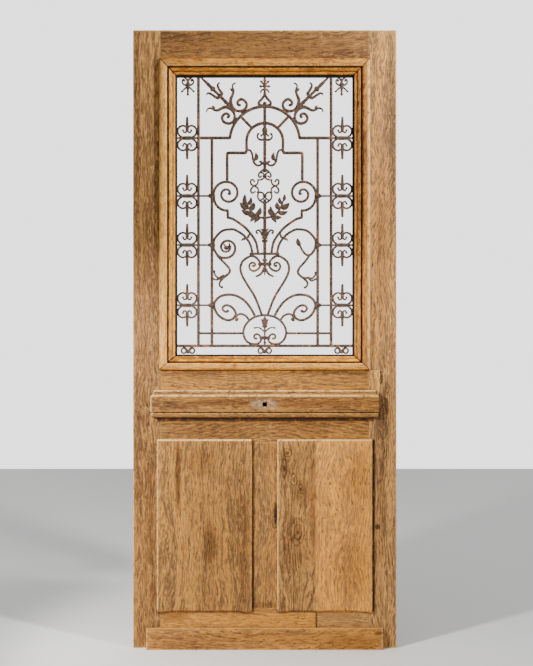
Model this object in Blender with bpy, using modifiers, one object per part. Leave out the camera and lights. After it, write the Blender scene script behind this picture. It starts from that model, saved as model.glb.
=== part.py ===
"""A panelled oak entrance door with a forged iron grille in its upper half.

Metres, +Z up. The door's front faces -Y, and Y = 0 is the middle of the leaf's thickness.
The origin is the middle of the hanging edge, so the leaf runs from X = 0 to X = DOOR_WIDTH
and from Z = -DOOR_HEIGHT / 2 to Z = DOOR_HEIGHT / 2.

The grille is forged to a drawing, SHEET_X by SHEET_Z units of about a millimetre, with x from
the centreline and z from the sill of its clear opening. STRETCH_X and STRETCH_Z fit the forged
drawing to the opening that the joinery leaves. Pieces are drawn on the right-hand side and
handed to the left.
"""
import math
from collections import namedtuple

import bmesh
import bpy
from mathutils import Matrix, Vector

# The leaf
DOOR_WIDTH = 0.960
DOOR_HEIGHT = 2.250
LEAF_THICKNESS = 0.042
CLEARANCE = 0.0003
ARRIS = 0.002

# Stiles, rails and muntin
STILE_WIDTH = 0.100
TOP_RAIL_HEIGHT = 0.109
LOCK_RAIL_HEIGHT = 0.267
LOCK_RAIL_ABOVE_SPINDLE = 0.127
BOTTOM_RAIL_HEIGHT = 0.144
REPAIR_LENGTH = 0.192
MUNTIN_WIDTH = 0.115
TENON_LENGTH = 0.060
TENON_THICKNESS = 0.012
TENON_SHOULDER = 0.012
MUNTIN_TENON = 0.020

# Panels
PANEL_LAP = 0.012
PANEL_PROUD = 0.012
PANEL_BACK_REVEAL = 0.008
PANEL_TONGUE = 0.010
TONGUE_THICKNESS = 0.010
INNER_BOARD_WIDTH = 0.139
PANEL_ARRIS = 0.004

# Moulding around the light
GLAZING_WIDTH = 0.058
GLAZING_WIDTH_SILL = 0.050
GLAZING_LAP = 0.004
GLAZING_CREST = 0.0205
GLAZING_BACK = 0.008
MITRE_GAP = 0.0012

# Waist moulding, with the blind hole for the latch spindle and the wood left behind it
WAIST_HALF_LENGTH = 0.385
WAIST_ABOVE_SPINDLE = 0.051
WAIST_HEIGHT = 0.112
WAIST_PROUD = 0.030
SPINDLE_HOLE = 0.016
SPINDLE_HOLE_WEB = 0.009
SPINDLE_HEIGHT = 0.889

# Weatherboard
WEATHERBOARD_LENGTH = 0.857
WEATHERBOARD_HEIGHT = 0.076
WEATHERBOARD_PROUD = 0.025
WEATHERBOARD_CHAMFER = 0.013

# Patch let into the lock stile, and the broken-out hollow beside it
PATCH_WIDTH = 0.041
PATCH_HEIGHT = 0.094
PATCH_ABOVE_SPINDLE = 0.123
PATCH_DEPTH = 0.010
SCAR_WIDTH = 0.013
SCAR_HEIGHT = 0.048
SCAR_DEPTH = 0.004

# Iron grille
FRAME_BAR = 0.005
FRAME_DEPTH = 0.020
GRILLE_Y = -0.006
PATTERN_WIDTH = 0.638
UPRIGHT_WIDTH = 0.008
UPRIGHT_DEPTH = 0.012
ARCH_WIDTH = 0.008
ARCH_DEPTH = 0.012
SCROLL_WIDTH = 0.0075
SCROLL_DEPTH = 0.010
CURL_WIDTH = 0.0052
CURL_DEPTH = 0.008
CROSS_WIDTH = 0.0076
CROSS_DEPTH = 0.0125
SPINDLE_WIDTH = 0.009
SPINDLE_DEPTH = 0.007
LOW_BAR_WIDTH = 0.0056
LOW_BAR_DEPTH = 0.006
COLLAR_DEPTH = 0.015
COLLAR_WALL = 0.004
TIE_DEPTH = 0.009
LEAF_DEPTH = 0.005
HAIR = 0.0002
STRAY = 1.9
SHARPEST = math.radians(60)

# Places in the grille's drawing, in its own units
SHEET_X = 638
SHEET_Z = 1015
OUTER_X = 241
INNER_X = 192.2
CROSS_Z = 32.4
LOW_Z = 78.3
ARCH_Z = 781
ARCH_END = 0.6
ARCH_R = 127
SHOULDER_Z = 792.8
INNER_ARCH_R = 66.2
INNER_SHOULDER_Z = 738.2
INNER_LEG_X = 136.5
VASE_Z = 369.1
CONSOLE_EYE = (135.6, 589)
CONSOLE_R = 50.2
CARTOUCHE_X = 282
CARTOUCHE_ZS = (792.4, 580.6, 401.1, 180.9)
PENDANT_X = 279.4
FOOT_XS = {"left": -279, "centre": 0, "right": 279}

OAK = (0.50, 0.31, 0.14)
OAK_GREY = (0.42, 0.30, 0.19)
OAK_PALE = (0.58, 0.40, 0.24)
IRON = (0.17, 0.10, 0.065)

# Sizes worked out from the ones above
UNIT = PATTERN_WIDTH / SHEET_X
LOCK_RAIL_TOP = SPINDLE_HEIGHT + LOCK_RAIL_ABOVE_SPINDLE
WAIST_TOP = SPINDLE_HEIGHT + WAIST_ABOVE_SPINDLE
PATCH_TOP = SPINDLE_HEIGHT + PATCH_ABOVE_SPINDLE
FOOT = -DOOR_HEIGHT / 2
TOP = DOOR_HEIGHT / 2
MIDDLE = DOOR_WIDTH / 2
FACE = -LEAF_THICKNESS / 2
BACK = LEAF_THICKNESS / 2
INNER_LEFT = STILE_WIDTH
INNER_RIGHT = DOOR_WIDTH - STILE_WIDTH
LIGHT_SILL = FOOT + LOCK_RAIL_TOP
LIGHT_HEAD = TOP - TOP_RAIL_HEIGHT
LOCK_RAIL_FOOT = LIGHT_SILL - LOCK_RAIL_HEIGHT
BOTTOM_RAIL_TOP = FOOT + BOTTOM_RAIL_HEIGHT
MUNTIN_LEFT = MIDDLE - MUNTIN_WIDTH / 2
MUNTIN_RIGHT = MIDDLE + MUNTIN_WIDTH / 2
SPLICE_X = INNER_RIGHT - REPAIR_LENGTH
SILL_LAP = GLAZING_LAP * GLAZING_WIDTH_SILL / GLAZING_WIDTH

SIGHT_LEFT = INNER_LEFT - GLAZING_LAP + GLAZING_WIDTH
SIGHT_RIGHT = INNER_RIGHT + GLAZING_LAP - GLAZING_WIDTH
SIGHT_FOOT = LIGHT_SILL - SILL_LAP + GLAZING_WIDTH_SILL
SIGHT_HEAD = LIGHT_HEAD + GLAZING_LAP - GLAZING_WIDTH
CLEAR_WIDTH = SIGHT_RIGHT - SIGHT_LEFT - 2 * (CLEARANCE + FRAME_BAR)
CLEAR_HEIGHT = SIGHT_HEAD - SIGHT_FOOT - 2 * (CLEARANCE + FRAME_BAR)
STRETCH_X = CLEAR_WIDTH / PATTERN_WIDTH
STRETCH_Z = CLEAR_HEIGHT / (SHEET_Z * UNIT)
DRAWN_CLEARANCE = CLEARANCE / min(STRETCH_X, STRETCH_Z)
GRILLE_FOOT = SIGHT_FOOT + CLEARANCE + FRAME_BAR

Stroke = namedtuple("Stroke", "points width depth taper")


def clear_scene():
    for thing in list(bpy.data.objects):
        bpy.data.objects.remove(thing)


def new_collection(name):
    collection = bpy.data.collections.new(name)
    bpy.context.scene.collection.children.link(collection)
    return collection


def new_empty(name, place):
    empty = bpy.data.objects.new(name, None)
    empty.location = place
    DOOR.objects.link(empty)
    return empty


def finish(thing, colour, roughness, metallic):
    """Give the object its own Principled material."""
    material = bpy.data.materials.new(thing.name)
    material.use_nodes = True
    shader = material.node_tree.nodes["Principled BSDF"]
    shader.inputs["Base Color"].default_value = (*colour, 1)
    shader.inputs["Roughness"].default_value = roughness
    shader.inputs["Metallic"].default_value = metallic
    material.diffuse_color = (*colour, 1)
    thing.data.materials.clear()
    thing.data.materials.append(material)


def oak(thing, colour=OAK):
    finish(thing, colour, 0.75, 0.0)
    thing.parent = LEAF
    return thing


def as_cutter(thing):
    """Move an object to the cutters, where it shows only as wire."""
    for collection in list(thing.users_collection):
        collection.objects.unlink(thing)
    CUTTERS.objects.link(thing)
    thing.hide_render = True
    thing.display_type = "WIRE"
    return thing


def new_solid(name, shape):
    """Turn the finished bmesh into an object whose faces point outwards."""
    bmesh.ops.recalc_face_normals(shape, faces=shape.faces)
    if shape.calc_volume(signed=True) < 0:
        bmesh.ops.reverse_faces(shape, faces=shape.faces)
    mesh = bpy.data.meshes.new(name)
    shape.to_mesh(mesh)
    shape.free()
    thing = bpy.data.objects.new(name, mesh)
    DOOR.objects.link(thing)
    return thing


def drawn_out(shape, corners, by):
    """A face through the corners, extruded by a vector."""
    face = shape.faces.new([shape.verts.new(corner) for corner in corners])
    grown = bmesh.ops.extrude_face_region(shape, geom=[face])["geom"]
    moving = [part for part in grown if isinstance(part, bmesh.types.BMVert)]
    bmesh.ops.translate(shape, vec=by, verts=moving)


def box(name, xs, ys, zs, arris=0.0):
    """A block between two corners, with its arrises taken off by a Bevel."""
    low = Vector((xs[0], ys[0], zs[0]))
    high = Vector((xs[1], ys[1], zs[1]))
    shape = bmesh.new()
    bmesh.ops.create_cube(shape, size=1.0)
    bmesh.ops.scale(shape, vec=high - low, verts=shape.verts)
    thing = new_solid(name, shape)
    thing.location = (low + high) / 2
    if arris:
        bevel = thing.modifiers.new("worn arris", "BEVEL")
        bevel.width = arris
        bevel.segments = 1
    return thing


def combine(thing, other, operation):
    boolean = thing.modifiers.new(other.name, "BOOLEAN")
    boolean.operation = operation
    boolean.solver = "EXACT"
    boolean.object = as_cutter(other)


def cut_box(thing, label, xs, ys, zs):
    combine(thing, box(thing.name + "." + label, xs, ys, zs), "DIFFERENCE")


def add_box(thing, label, xs, ys, zs):
    combine(thing, box(thing.name + "." + label, xs, ys, zs), "UNION")


def prism(name, outline, ys):
    """A flat outline in X and Z, closed and extruded from ys[0] to ys[1]."""
    shape = bmesh.new()
    drawn_out(shape, [(x, ys[0], z) for x, z in outline], (0, ys[1] - ys[0], 0))
    return new_solid(name, shape)


def grown_span(low, high, by=CLEARANCE):
    return (low - by, high + by)


# Stiles, rails and muntin

def tenon_span(rail_foot, rail_top):
    """A rail's tenon stops short of the rail's two edges."""
    return (rail_foot + TENON_SHOULDER, rail_top - TENON_SHOULDER)


RAIL_TENONS = {
    "top": tenon_span(LIGHT_HEAD, TOP),
    "lock": tenon_span(LOCK_RAIL_FOOT, LIGHT_SILL),
    "bottom": tenon_span(FOOT, BOTTOM_RAIL_TOP),
}
TENON_Y = (-TENON_THICKNESS / 2, TENON_THICKNESS / 2)
TONGUE_Y = (-TONGUE_THICKNESS / 2, TONGUE_THICKNESS / 2)
GROOVE_Y = grown_span(*TONGUE_Y)
GROOVE_DEPTH = PANEL_TONGUE + CLEARANCE


def stile(name, edge, shoulder):
    """A stile from its outer edge to the shoulder line where the rails butt."""
    inward = 1 if shoulder > edge else -1
    thing = box(name, sorted((edge, shoulder)), (FACE, BACK), (FOOT, TOP), ARRIS)
    mortise_x = sorted((shoulder - inward * (TENON_LENGTH + CLEARANCE), shoulder + inward * ARRIS))
    for label, span in RAIL_TENONS.items():
        cut_box(thing, label + " mortise", mortise_x, grown_span(*TENON_Y), grown_span(*span))
    groove_x = sorted((shoulder - inward * GROOVE_DEPTH, shoulder + inward * ARRIS))
    cut_box(thing, "groove", groove_x, GROOVE_Y, grown_span(BOTTOM_RAIL_TOP, LOCK_RAIL_FOOT, GROOVE_DEPTH))
    return oak(thing)


def rail(name, span, xs, tenons=("left", "right")):
    """A rail between the stiles, with a tenon at each named end."""
    ends = (xs[0] + CLEARANCE, xs[1] - CLEARANCE)
    thing = box(name, ends, (FACE, BACK), span, ARRIS)
    tenon_z = tenon_span(*span)
    if "left" in tenons:
        add_box(thing, "left tenon", (xs[0] - TENON_LENGTH, xs[0] + TENON_LENGTH), TENON_Y, tenon_z)
    if "right" in tenons:
        add_box(thing, "right tenon", (xs[1] - TENON_LENGTH, xs[1] + TENON_LENGTH), TENON_Y, tenon_z)
    return oak(thing)


def spindle_hole(thing):
    """The square hole for the latch spindle, from the front and blind: it stops short of the back."""
    half = SPINDLE_HOLE / 2
    z = FOOT + SPINDLE_HEIGHT
    cut_box(thing, "spindle hole", (MIDDLE - half, MIDDLE + half),
            (2 * FACE - WAIST_PROUD, BACK - SPINDLE_HOLE_WEB), (z - half, z + half))


def stiles_and_rails():
    stile("stile_left", 0.0, INNER_LEFT)
    lock_stile = stile("stile_right", DOOR_WIDTH, INNER_RIGHT)
    let_in_patch(lock_stile)
    between = (INNER_LEFT, INNER_RIGHT)
    rail("rail_top", (LIGHT_HEAD, TOP), between)

    lock_rail = rail("rail_lock", (LOCK_RAIL_FOOT, LIGHT_SILL), between)
    groove_z = (LOCK_RAIL_FOOT - ARRIS, LOCK_RAIL_FOOT + GROOVE_DEPTH)
    cut_box(lock_rail, "groove", grown_span(*between, ARRIS), GROOVE_Y, groove_z)
    muntin_x = tenon_span(MUNTIN_LEFT, MUNTIN_RIGHT)
    socket_z = (LOCK_RAIL_FOOT - ARRIS, LOCK_RAIL_FOOT + MUNTIN_TENON + CLEARANCE)
    cut_box(lock_rail, "muntin socket", grown_span(*muntin_x), grown_span(*TENON_Y), socket_z)
    spindle_hole(lock_rail)

    foot_span = (FOOT, BOTTOM_RAIL_TOP)
    foot_rail = rail("rail_bottom", foot_span, (INNER_LEFT, SPLICE_X), ("left",))
    repair = rail("rail_bottom_repair", foot_span, (SPLICE_X, INNER_RIGHT), ("right",))
    groove_z = (BOTTOM_RAIL_TOP - GROOVE_DEPTH, BOTTOM_RAIL_TOP + ARRIS)
    for thing in (foot_rail, repair):
        cut_box(thing, "groove", grown_span(*between, ARRIS), GROOVE_Y, groove_z)
    socket_z = (BOTTOM_RAIL_TOP - MUNTIN_TENON - CLEARANCE, BOTTOM_RAIL_TOP + ARRIS)
    cut_box(foot_rail, "muntin socket", grown_span(*muntin_x), grown_span(*TENON_Y), socket_z)

    muntin_z = (BOTTOM_RAIL_TOP + CLEARANCE, LOCK_RAIL_FOOT - CLEARANCE)
    muntin = box("muntin", (MUNTIN_LEFT, MUNTIN_RIGHT), (FACE, BACK), muntin_z, ARRIS)
    tenon_z = (BOTTOM_RAIL_TOP - MUNTIN_TENON, LOCK_RAIL_FOOT + MUNTIN_TENON)
    add_box(muntin, "tenons", muntin_x, TENON_Y, tenon_z)
    panel_z = (BOTTOM_RAIL_TOP - MUNTIN_TENON - ARRIS, LOCK_RAIL_FOOT + MUNTIN_TENON + ARRIS)
    cut_box(muntin, "left groove", (MUNTIN_LEFT - ARRIS, MUNTIN_LEFT + GROOVE_DEPTH), GROOVE_Y, panel_z)
    cut_box(muntin, "right groove", (MUNTIN_RIGHT - GROOVE_DEPTH, MUNTIN_RIGHT + ARRIS), GROOVE_Y, panel_z)
    oak(muntin)


def patch_outline(grow=0.0):
    """The patch's outline: square on three sides, ragged on the side away from the rail."""
    left = INNER_RIGHT + CLEARANCE - grow
    right = INNER_RIGHT + PATCH_WIDTH + grow
    top = FOOT + PATCH_TOP + grow
    foot = FOOT + PATCH_TOP - PATCH_HEIGHT - grow
    rag = 0.03 * PATCH_HEIGHT
    ragged = [(right - rag * bite, foot + (top - foot) * up)
              for up, bite in ((0.0, 3.0), (0.16, 1.2), (0.40, 0.6), (0.62, 1.5), (0.80, 0.0), (1.0, 1.0))]
    return [(left, top), (left, foot)] + ragged


def let_in_patch(lock_stile):
    """A pocket in the stile, the patch in it, and a torn hollow outside its ragged edge."""
    deepest = FACE + PATCH_DEPTH
    pocket = prism("stile_right.pocket", patch_outline(CLEARANCE), (2 * FACE, deepest + CLEARANCE))
    combine(lock_stile, pocket, "DIFFERENCE")
    patch = prism("stile_patch", patch_outline(), (FACE + ARRIS / 2, deepest))
    oak(patch, OAK_PALE)

    x0 = INNER_RIGHT + PATCH_WIDTH - ARRIS
    top = FOOT + PATCH_TOP - PATCH_HEIGHT * 0.07
    hollow = [(x0, top), (x0 + 0.6 * SCAR_WIDTH, top + 0.15 * SCAR_HEIGHT), (x0 + SCAR_WIDTH, top - 0.1 * SCAR_HEIGHT),
              (x0 + 0.8 * SCAR_WIDTH, top - 0.55 * SCAR_HEIGHT), (x0 + SCAR_WIDTH, top - 0.8 * SCAR_HEIGHT),
              (x0 + 0.4 * SCAR_WIDTH, top - SCAR_HEIGHT), (x0, top - 0.9 * SCAR_HEIGHT)]
    combine(lock_stile, prism("stile_right.scar", hollow, (2 * FACE, FACE + SCAR_DEPTH)), "DIFFERENCE")


# Panels

def panel(name, xs, lap=(True, True), tongue=(True, True)):
    """A raised panel: a lapping front, a body in the opening and a tongue in the grooves."""
    zs = (BOTTOM_RAIL_TOP, LOCK_RAIL_FOOT)
    front_x = (xs[0] - PANEL_LAP * lap[0] + CLEARANCE * (not lap[0]), xs[1] + PANEL_LAP * lap[1])
    thing = box(name, front_x, (FACE - PANEL_PROUD, FACE - CLEARANCE), grown_span(*zs, PANEL_LAP), PANEL_ARRIS)
    body_x = (xs[0] + CLEARANCE, xs[1] - CLEARANCE * lap[1])
    body_z = grown_span(*zs, -CLEARANCE)
    add_box(thing, "body", body_x, (FACE - PANEL_PROUD / 2, BACK - PANEL_BACK_REVEAL), body_z)
    tongue_x = (body_x[0] - PANEL_TONGUE * tongue[0], body_x[1] + PANEL_TONGUE * tongue[1])
    add_box(thing, "tongue", tongue_x, TONGUE_Y, grown_span(*body_z, PANEL_TONGUE))
    return oak(thing)


def panels():
    split = MUNTIN_RIGHT - PANEL_LAP + INNER_BOARD_WIDTH
    panel("panel_left", (INNER_LEFT, MUNTIN_LEFT))
    panel("panel_right_inner", (MUNTIN_RIGHT, split), (True, False), (True, False))
    panel("panel_right_outer", (split, INNER_RIGHT), (False, True), (False, True))


# Moulding around the light

def glazing_section():
    """The moulding's front, from its outer edge inwards, as (share of width, height proud).

    A roll fills the outer half, a quirk parts it from a sloping ovolo, and a fillet ends it.
    """
    points = [(0.0, 0.40)]
    for step in range(5):
        turn = math.pi * step / 4
        points.append((0.24 - 0.20 * math.cos(turn), 0.62 + 0.38 * math.sin(turn)))
    points.append((0.47, 0.58))
    for step in range(4):
        turn = math.pi / 2 * step / 3
        points.append((0.52 + 0.28 * math.sin(turn), 0.34 + 0.48 * math.cos(turn)))
    points += [(0.83, 0.20), (0.86, 0.26), (1.0, 0.20)]
    return [(share, GLAZING_CREST * height) for share, height in points]


def glazing_rings():
    """Each line of the moulding as a rectangle (left, right, foot, head) and its depth in Y."""
    outer = (INNER_LEFT - GLAZING_LAP, INNER_RIGHT + GLAZING_LAP,
             LIGHT_SILL - SILL_LAP, LIGHT_HEAD + GLAZING_LAP)
    inner = (SIGHT_LEFT, SIGHT_RIGHT, SIGHT_FOOT, SIGHT_HEAD)
    rebate = (GLAZING_LAP + CLEARANCE) / GLAZING_WIDTH
    lines = [(0.0, FACE - CLEARANCE)]
    lines += [(share, FACE - proud) for share, proud in glazing_section()]
    lines += [(1.0, GLAZING_BACK), (rebate, GLAZING_BACK), (rebate, FACE - CLEARANCE)]
    return [([a + (b - a) * share for a, b in zip(outer, inner)], y) for share, y in lines]


def mitred(name, first, second):
    """A length of moulding between two mitred ends, each a list of points."""
    shape = bmesh.new()
    face = shape.faces.new([shape.verts.new(point) for point in first])
    grown = bmesh.ops.extrude_face_region(shape, geom=[face])["geom"]
    far = next(part for part in grown if isinstance(part, bmesh.types.BMFace))
    for loop_vert in far.verts:
        nearest = min(range(len(first)), key=lambda i: (Vector(first[i]) - loop_vert.co).length)
        loop_vert.co = second[nearest]
    return oak(new_solid(name, shape))


def glazing_mouldings():
    rings = glazing_rings()
    gap = MITRE_GAP / 2
    for name, z_index, trim in (("foot", 2, gap), ("head", 3, gap)):
        ends = [[(ring[i] + (trim if i == 0 else -trim), y, ring[z_index]) for ring, y in rings] for i in (0, 1)]
        mitred("glazing_moulding_" + {"foot": "bottom", "head": "top"}[name], *ends)
    for name, x_index in (("left", 0), ("right", 1)):
        ends = [[(ring[x_index], y, ring[i] + (gap if i == 2 else -gap)) for ring, y in rings] for i in (2, 3)]
        mitred("glazing_moulding_" + name, *ends)


# Waist moulding and weatherboard

def waist_moulding():
    """A fascia over a bead and a cove, under a stepped top, returned at both ends.

    Each line of the section is a U around the piece: its half length grows as it stands proud.
    """
    section = ((0.0, 0.55), (0.035, 0.62), (0.045, 0.88), (0.06, 1.0), (0.19, 1.0), (0.205, 0.80),
               (0.225, 0.80), (0.24, 0.86), (0.265, 0.86), (0.28, 0.70), (0.29, 0.36), (0.32, 0.22))
    top = FOOT + WAIST_TOP
    scale = WAIST_HEIGHT / section[-1][0]
    rows = [(top - drop * scale, WAIST_PROUD * proud) for drop, proud in section]
    shape = bmesh.new()
    wall = FACE - CLEARANCE
    previous = None
    loops = []
    for z, proud in rows:
        half = WAIST_HALF_LENGTH + proud
        corners = ((MIDDLE - half, wall), (MIDDLE - half, FACE - proud),
                   (MIDDLE + half, FACE - proud), (MIDDLE + half, wall))
        loop = [shape.verts.new((x, y, z)) for x, y in corners]
        loops.append(loop)
        if previous:
            for i in range(4):
                j = (i + 1) % 4
                shape.faces.new((previous[i], previous[j], loop[j], loop[i]))
        previous = loop
    shape.faces.new(loops[0])
    shape.faces.new(loops[-1])
    thing = new_solid("waist_moulding", shape)
    spindle_hole(thing)
    oak(thing)


def weatherboard():
    """A board along the foot, its top and its ends chamfered towards the face of the leaf."""
    half = WEATHERBOARD_LENGTH / 2
    front = FACE - WEATHERBOARD_PROUD
    wall = FACE - CLEARANCE
    top = FOOT + WEATHERBOARD_HEIGHT
    chamfer = WEATHERBOARD_CHAMFER
    thing = box("weatherboard", (MIDDLE - half, MIDDLE + half), (front, wall), (FOOT, top), ARRIS)
    outline = ((front - ARRIS, top - chamfer - ARRIS), (front - ARRIS, top + ARRIS),
               (front + chamfer + ARRIS, top + ARRIS))
    shape = bmesh.new()
    start = MIDDLE - half - ARRIS
    drawn_out(shape, [(start, y, z) for y, z in outline], (2 * half + 2 * ARRIS, 0, 0))
    combine(thing, new_solid("weatherboard.chamfer", shape), "DIFFERENCE")
    oak(thing, OAK_GREY)


# Drawing bars for the grille

def bar(points, width=SCROLL_WIDTH, depth=SCROLL_DEPTH, taper=(1, 1)):
    """A bar along points of the drawing; taper gives its thickness at even steps along it."""
    return Stroke(points, width, depth, taper)


def curl(points, taper=(1, 1, 0.8), width=CURL_WIDTH, depth=CURL_DEPTH):
    """A light bar bent through the points."""
    return bar(smooth(points), width, depth, taper)


def leaf(base, tip, width, depth=LEAF_DEPTH):
    """A leaf of a width in units: narrow at the base, widest past the middle, then a point."""
    return bar([base, between(base, tip, 0.55), tip], width * UNIT, depth, (0.35, 1.0, 0.2))


def paired(points):
    """A line that starts on the centreline, joined there to its own mirror image."""
    return [(-x, z) for x, z in reversed(points) if x] + list(points)


def between(a, b, share):
    return (a[0] + (b[0] - a[0]) * share, a[1] + (b[1] - a[1]) * share)


def smooth(points):
    """A few points on the Catmull-Rom curve through the given ones."""
    first = between(points[1], points[0], 2.0)
    last = between(points[-2], points[-1], 2.0)
    ends = [first] + list(points) + [last]
    fine = []
    for a, b, c, d in zip(ends, ends[1:], ends[2:], ends[3:]):
        for step in range(12):
            t = step / 12
            fine.append(tuple(0.5 * (2 * q + (r - p) * t + (2 * p - 5 * q + 4 * r - s) * t * t
                                     + (3 * q - p - 3 * r + s) * t ** 3)
                              for p, q, r, s in zip(a, b, c, d)))
    fine.append(tuple(points[-1]))
    return thinned(fine)


def volute(centre, start_radius, end_radius, start, end):
    """A spiral whose radius changes evenly with the angle; angles in degrees from +x."""
    count = math.ceil(abs(end - start) / 4)
    fine = []
    for k in range(count + 1):
        share = k / count
        angle = math.radians(start + (end - start) * share)
        radius = start_radius + (end_radius - start_radius) * share
        fine.append((centre[0] + radius * math.cos(angle), centre[1] + radius * math.sin(angle)))
    return thinned(fine)


def thinned(fine):
    """Points of a fine curve, spaced so that the chords stray evenly from it.

    A chord over an arc of radius r strays by r * angle ** 2 / 8, so a small stretch of the curve
    asks for sqrt(turn * length / (8 * STRAY)) of a chord.
    """
    asked = [0.0]
    for a, b, c in zip(fine, fine[1:], fine[2:]):
        before = Vector(b) - Vector(a)
        after = Vector(c) - Vector(b)
        turn = abs(before.angle_signed(after))
        length = (before.length + after.length) / 2
        asked.append(asked[-1] + max(math.sqrt(turn * length / (8 * STRAY)), turn / SHARPEST))
    asked.append(asked[-1])
    count = max(1, round(asked[-1]))
    kept = [fine[0]]
    for k in range(1, count):
        goal = asked[-1] * k / count
        kept.append(next(point for point, total in zip(fine, asked) if total >= goal))
    kept.append(fine[-1])
    return kept


def mirrored(strokes):
    """The strokes on the other side, a hair thinner, so that no faces coincide on the centreline."""
    return [stroke._replace(points=[(-x, z) for x, z in stroke.points], depth=stroke.depth - HAIR)
            for stroke in strokes]


def both_sides(strokes):
    return strokes + mirrored(strokes)


def moved(strokes, dx, dz):
    return [stroke._replace(points=[(x + dx, z + dz) for x, z in stroke.points]) for stroke in strokes]


def handed(strokes, side):
    if side == "right":
        return strokes
    return [stroke._replace(points=[(-x, z) for x, z in stroke.points]) for stroke in strokes]


# Forging: bars joined into one body and cut back from what they touch

def section_curve(width, depth):
    """The bar's rectangular section, as a closed flat curve."""
    section = bpy.data.curves.new("section", "CURVE")
    section.dimensions = "2D"
    spline = section.splines.new("POLY")
    spline.points.add(3)
    for point, (x, y) in zip(spline.points, ((-1, 1), (1, 1), (1, -1), (-1, -1))):
        point.co = (x * width / 2, y * depth / 2, 0, 1)
    spline.use_cyclic_u = True
    return bpy.data.objects.new("section", section)


def taper_at(taper, share):
    place = share * (len(taper) - 1)
    index = min(int(place), len(taper) - 2)
    return taper[index] + (taper[index + 1] - taper[index]) * (place - index)


def swept(stroke, collection, grow=0.0):
    """The stroke's bar as a closed mesh; grow thickens and lengthens it on every side."""
    points = [Vector((x * UNIT, z * UNIT)) for x, z in stroke.points]
    points[0] += (points[0] - points[1]).normalized() * grow
    points[-1] += (points[-1] - points[-2]).normalized() * grow
    lengths = [0.0]
    for a, b in zip(points, points[1:]):
        lengths.append(lengths[-1] + (b - a).length)
    section = section_curve(stroke.width + 2 * grow, stroke.depth + 2 * grow)
    bpy.context.scene.collection.objects.link(section)
    path = bpy.data.curves.new("bar", "CURVE")
    path.dimensions = "2D"
    path.fill_mode = "NONE"
    path.bevel_mode = "OBJECT"
    path.bevel_object = section
    path.use_fill_caps = True
    spline = path.splines.new("POLY")
    spline.points.add(len(points) - 1)
    for node, point, length in zip(spline.points, points, lengths):
        node.co = (point.x, point.y, 0, 1)
        node.radius = taper_at(stroke.taper, length / lengths[-1])
    curve = bpy.data.objects.new("bar", path)
    bpy.context.scene.collection.objects.link(curve)
    mesh = bpy.data.meshes.new_from_object(curve.evaluated_get(bpy.context.evaluated_depsgraph_get()))
    shape = bmesh.new()
    shape.from_mesh(mesh)
    bmesh.ops.remove_doubles(shape, verts=shape.verts, dist=1e-6)
    bmesh.ops.rotate(shape, matrix=Matrix.Rotation(math.pi / 2, 3, "X"), verts=shape.verts)
    bmesh.ops.recalc_face_normals(shape, faces=shape.faces)
    shape.to_mesh(mesh)
    shape.free()
    bpy.data.objects.remove(curve)
    bpy.data.objects.remove(section)
    thing = bpy.data.objects.new("bar", mesh)
    collection.objects.link(thing)
    return thing


def forge(name, strokes, clear_of=()):
    """Join the strokes into one body, then cut it back from its neighbours' strokes."""
    first, *rest = strokes
    thing = swept(first, DOOR)
    thing.name = name
    joined = new_collection("joined")
    kept_clear = new_collection("kept clear")
    for stroke in rest:
        swept(stroke, joined)
    for stroke in clear_of:
        swept(stroke, kept_clear, DRAWN_CLEARANCE)
    for collection, operation in ((joined, "UNION"), (kept_clear, "DIFFERENCE")):
        if len(collection.objects):
            boolean = thing.modifiers.new(operation.lower(), "BOOLEAN")
            boolean.operation = operation
            boolean.solver = "EXACT"
            boolean.operand_type = "COLLECTION"
            boolean.collection = collection
    mesh = bpy.data.meshes.new_from_object(thing.evaluated_get(bpy.context.evaluated_depsgraph_get()))
    thing.modifiers.clear()
    thing.data = mesh
    mesh.name = name
    merge_flats(mesh)
    mesh.transform(Matrix.Diagonal((STRETCH_X, 1, STRETCH_Z, 1)))
    for collection in (joined, kept_clear):
        for used in list(collection.objects):
            bpy.data.objects.remove(used)
        bpy.data.collections.remove(collection)
    finish(thing, IRON, 0.6, 0.7)
    thing.parent = GRILLE


def merge_flats(mesh):
    """Merge the flat pieces that the joins left, so that the body keeps few triangles."""
    shape = bmesh.new()
    shape.from_mesh(mesh)
    bmesh.ops.remove_doubles(shape, verts=shape.verts, dist=1e-6)
    bmesh.ops.dissolve_degenerate(shape, edges=shape.edges, dist=1e-6)
    bmesh.ops.dissolve_limit(shape, angle_limit=math.radians(0.5), verts=shape.verts, edges=shape.edges)
    shape.to_mesh(mesh)
    shape.free()


# The grille's straight bars

def frame_bars():
    """Four flat bars inside the moulding; the upright ones run the full height."""
    half = SHEET_X / 2
    width_x = FRAME_BAR / STRETCH_X
    width_z = FRAME_BAR / STRETCH_Z
    bar_x = width_x / UNIT
    bar_z = width_z / UNIT
    gap = DRAWN_CLEARANCE / UNIT
    strokes = {}
    for side, x in (("left", -half - bar_x / 2), ("right", half + bar_x / 2)):
        strokes[side] = [bar([(x, -bar_z), (x, SHEET_Z + bar_z)], width_x, FRAME_DEPTH)]
    for side, z in (("bottom", -bar_z / 2), ("top", SHEET_Z + bar_z / 2)):
        strokes[side] = [bar([(gap - half, z), (half - gap, z)], width_z, FRAME_DEPTH)]
    return strokes


def upright(x, top):
    return [bar([(x, CROSS_Z), (x, top)], UPRIGHT_WIDTH, UPRIGHT_DEPTH)]


def cross_bar():
    half = SHEET_X / 2
    return [bar([(-half, CROSS_Z), (half, CROSS_Z)], CROSS_WIDTH, CROSS_DEPTH)]


def low_bar():
    """A thin bar from the outer upright through the inner one to the ring."""
    return [bar([(74, LOW_Z), (OUTER_X, LOW_Z)], LOW_BAR_WIDTH, LOW_BAR_DEPTH)]


# The arches and the spindle

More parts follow.
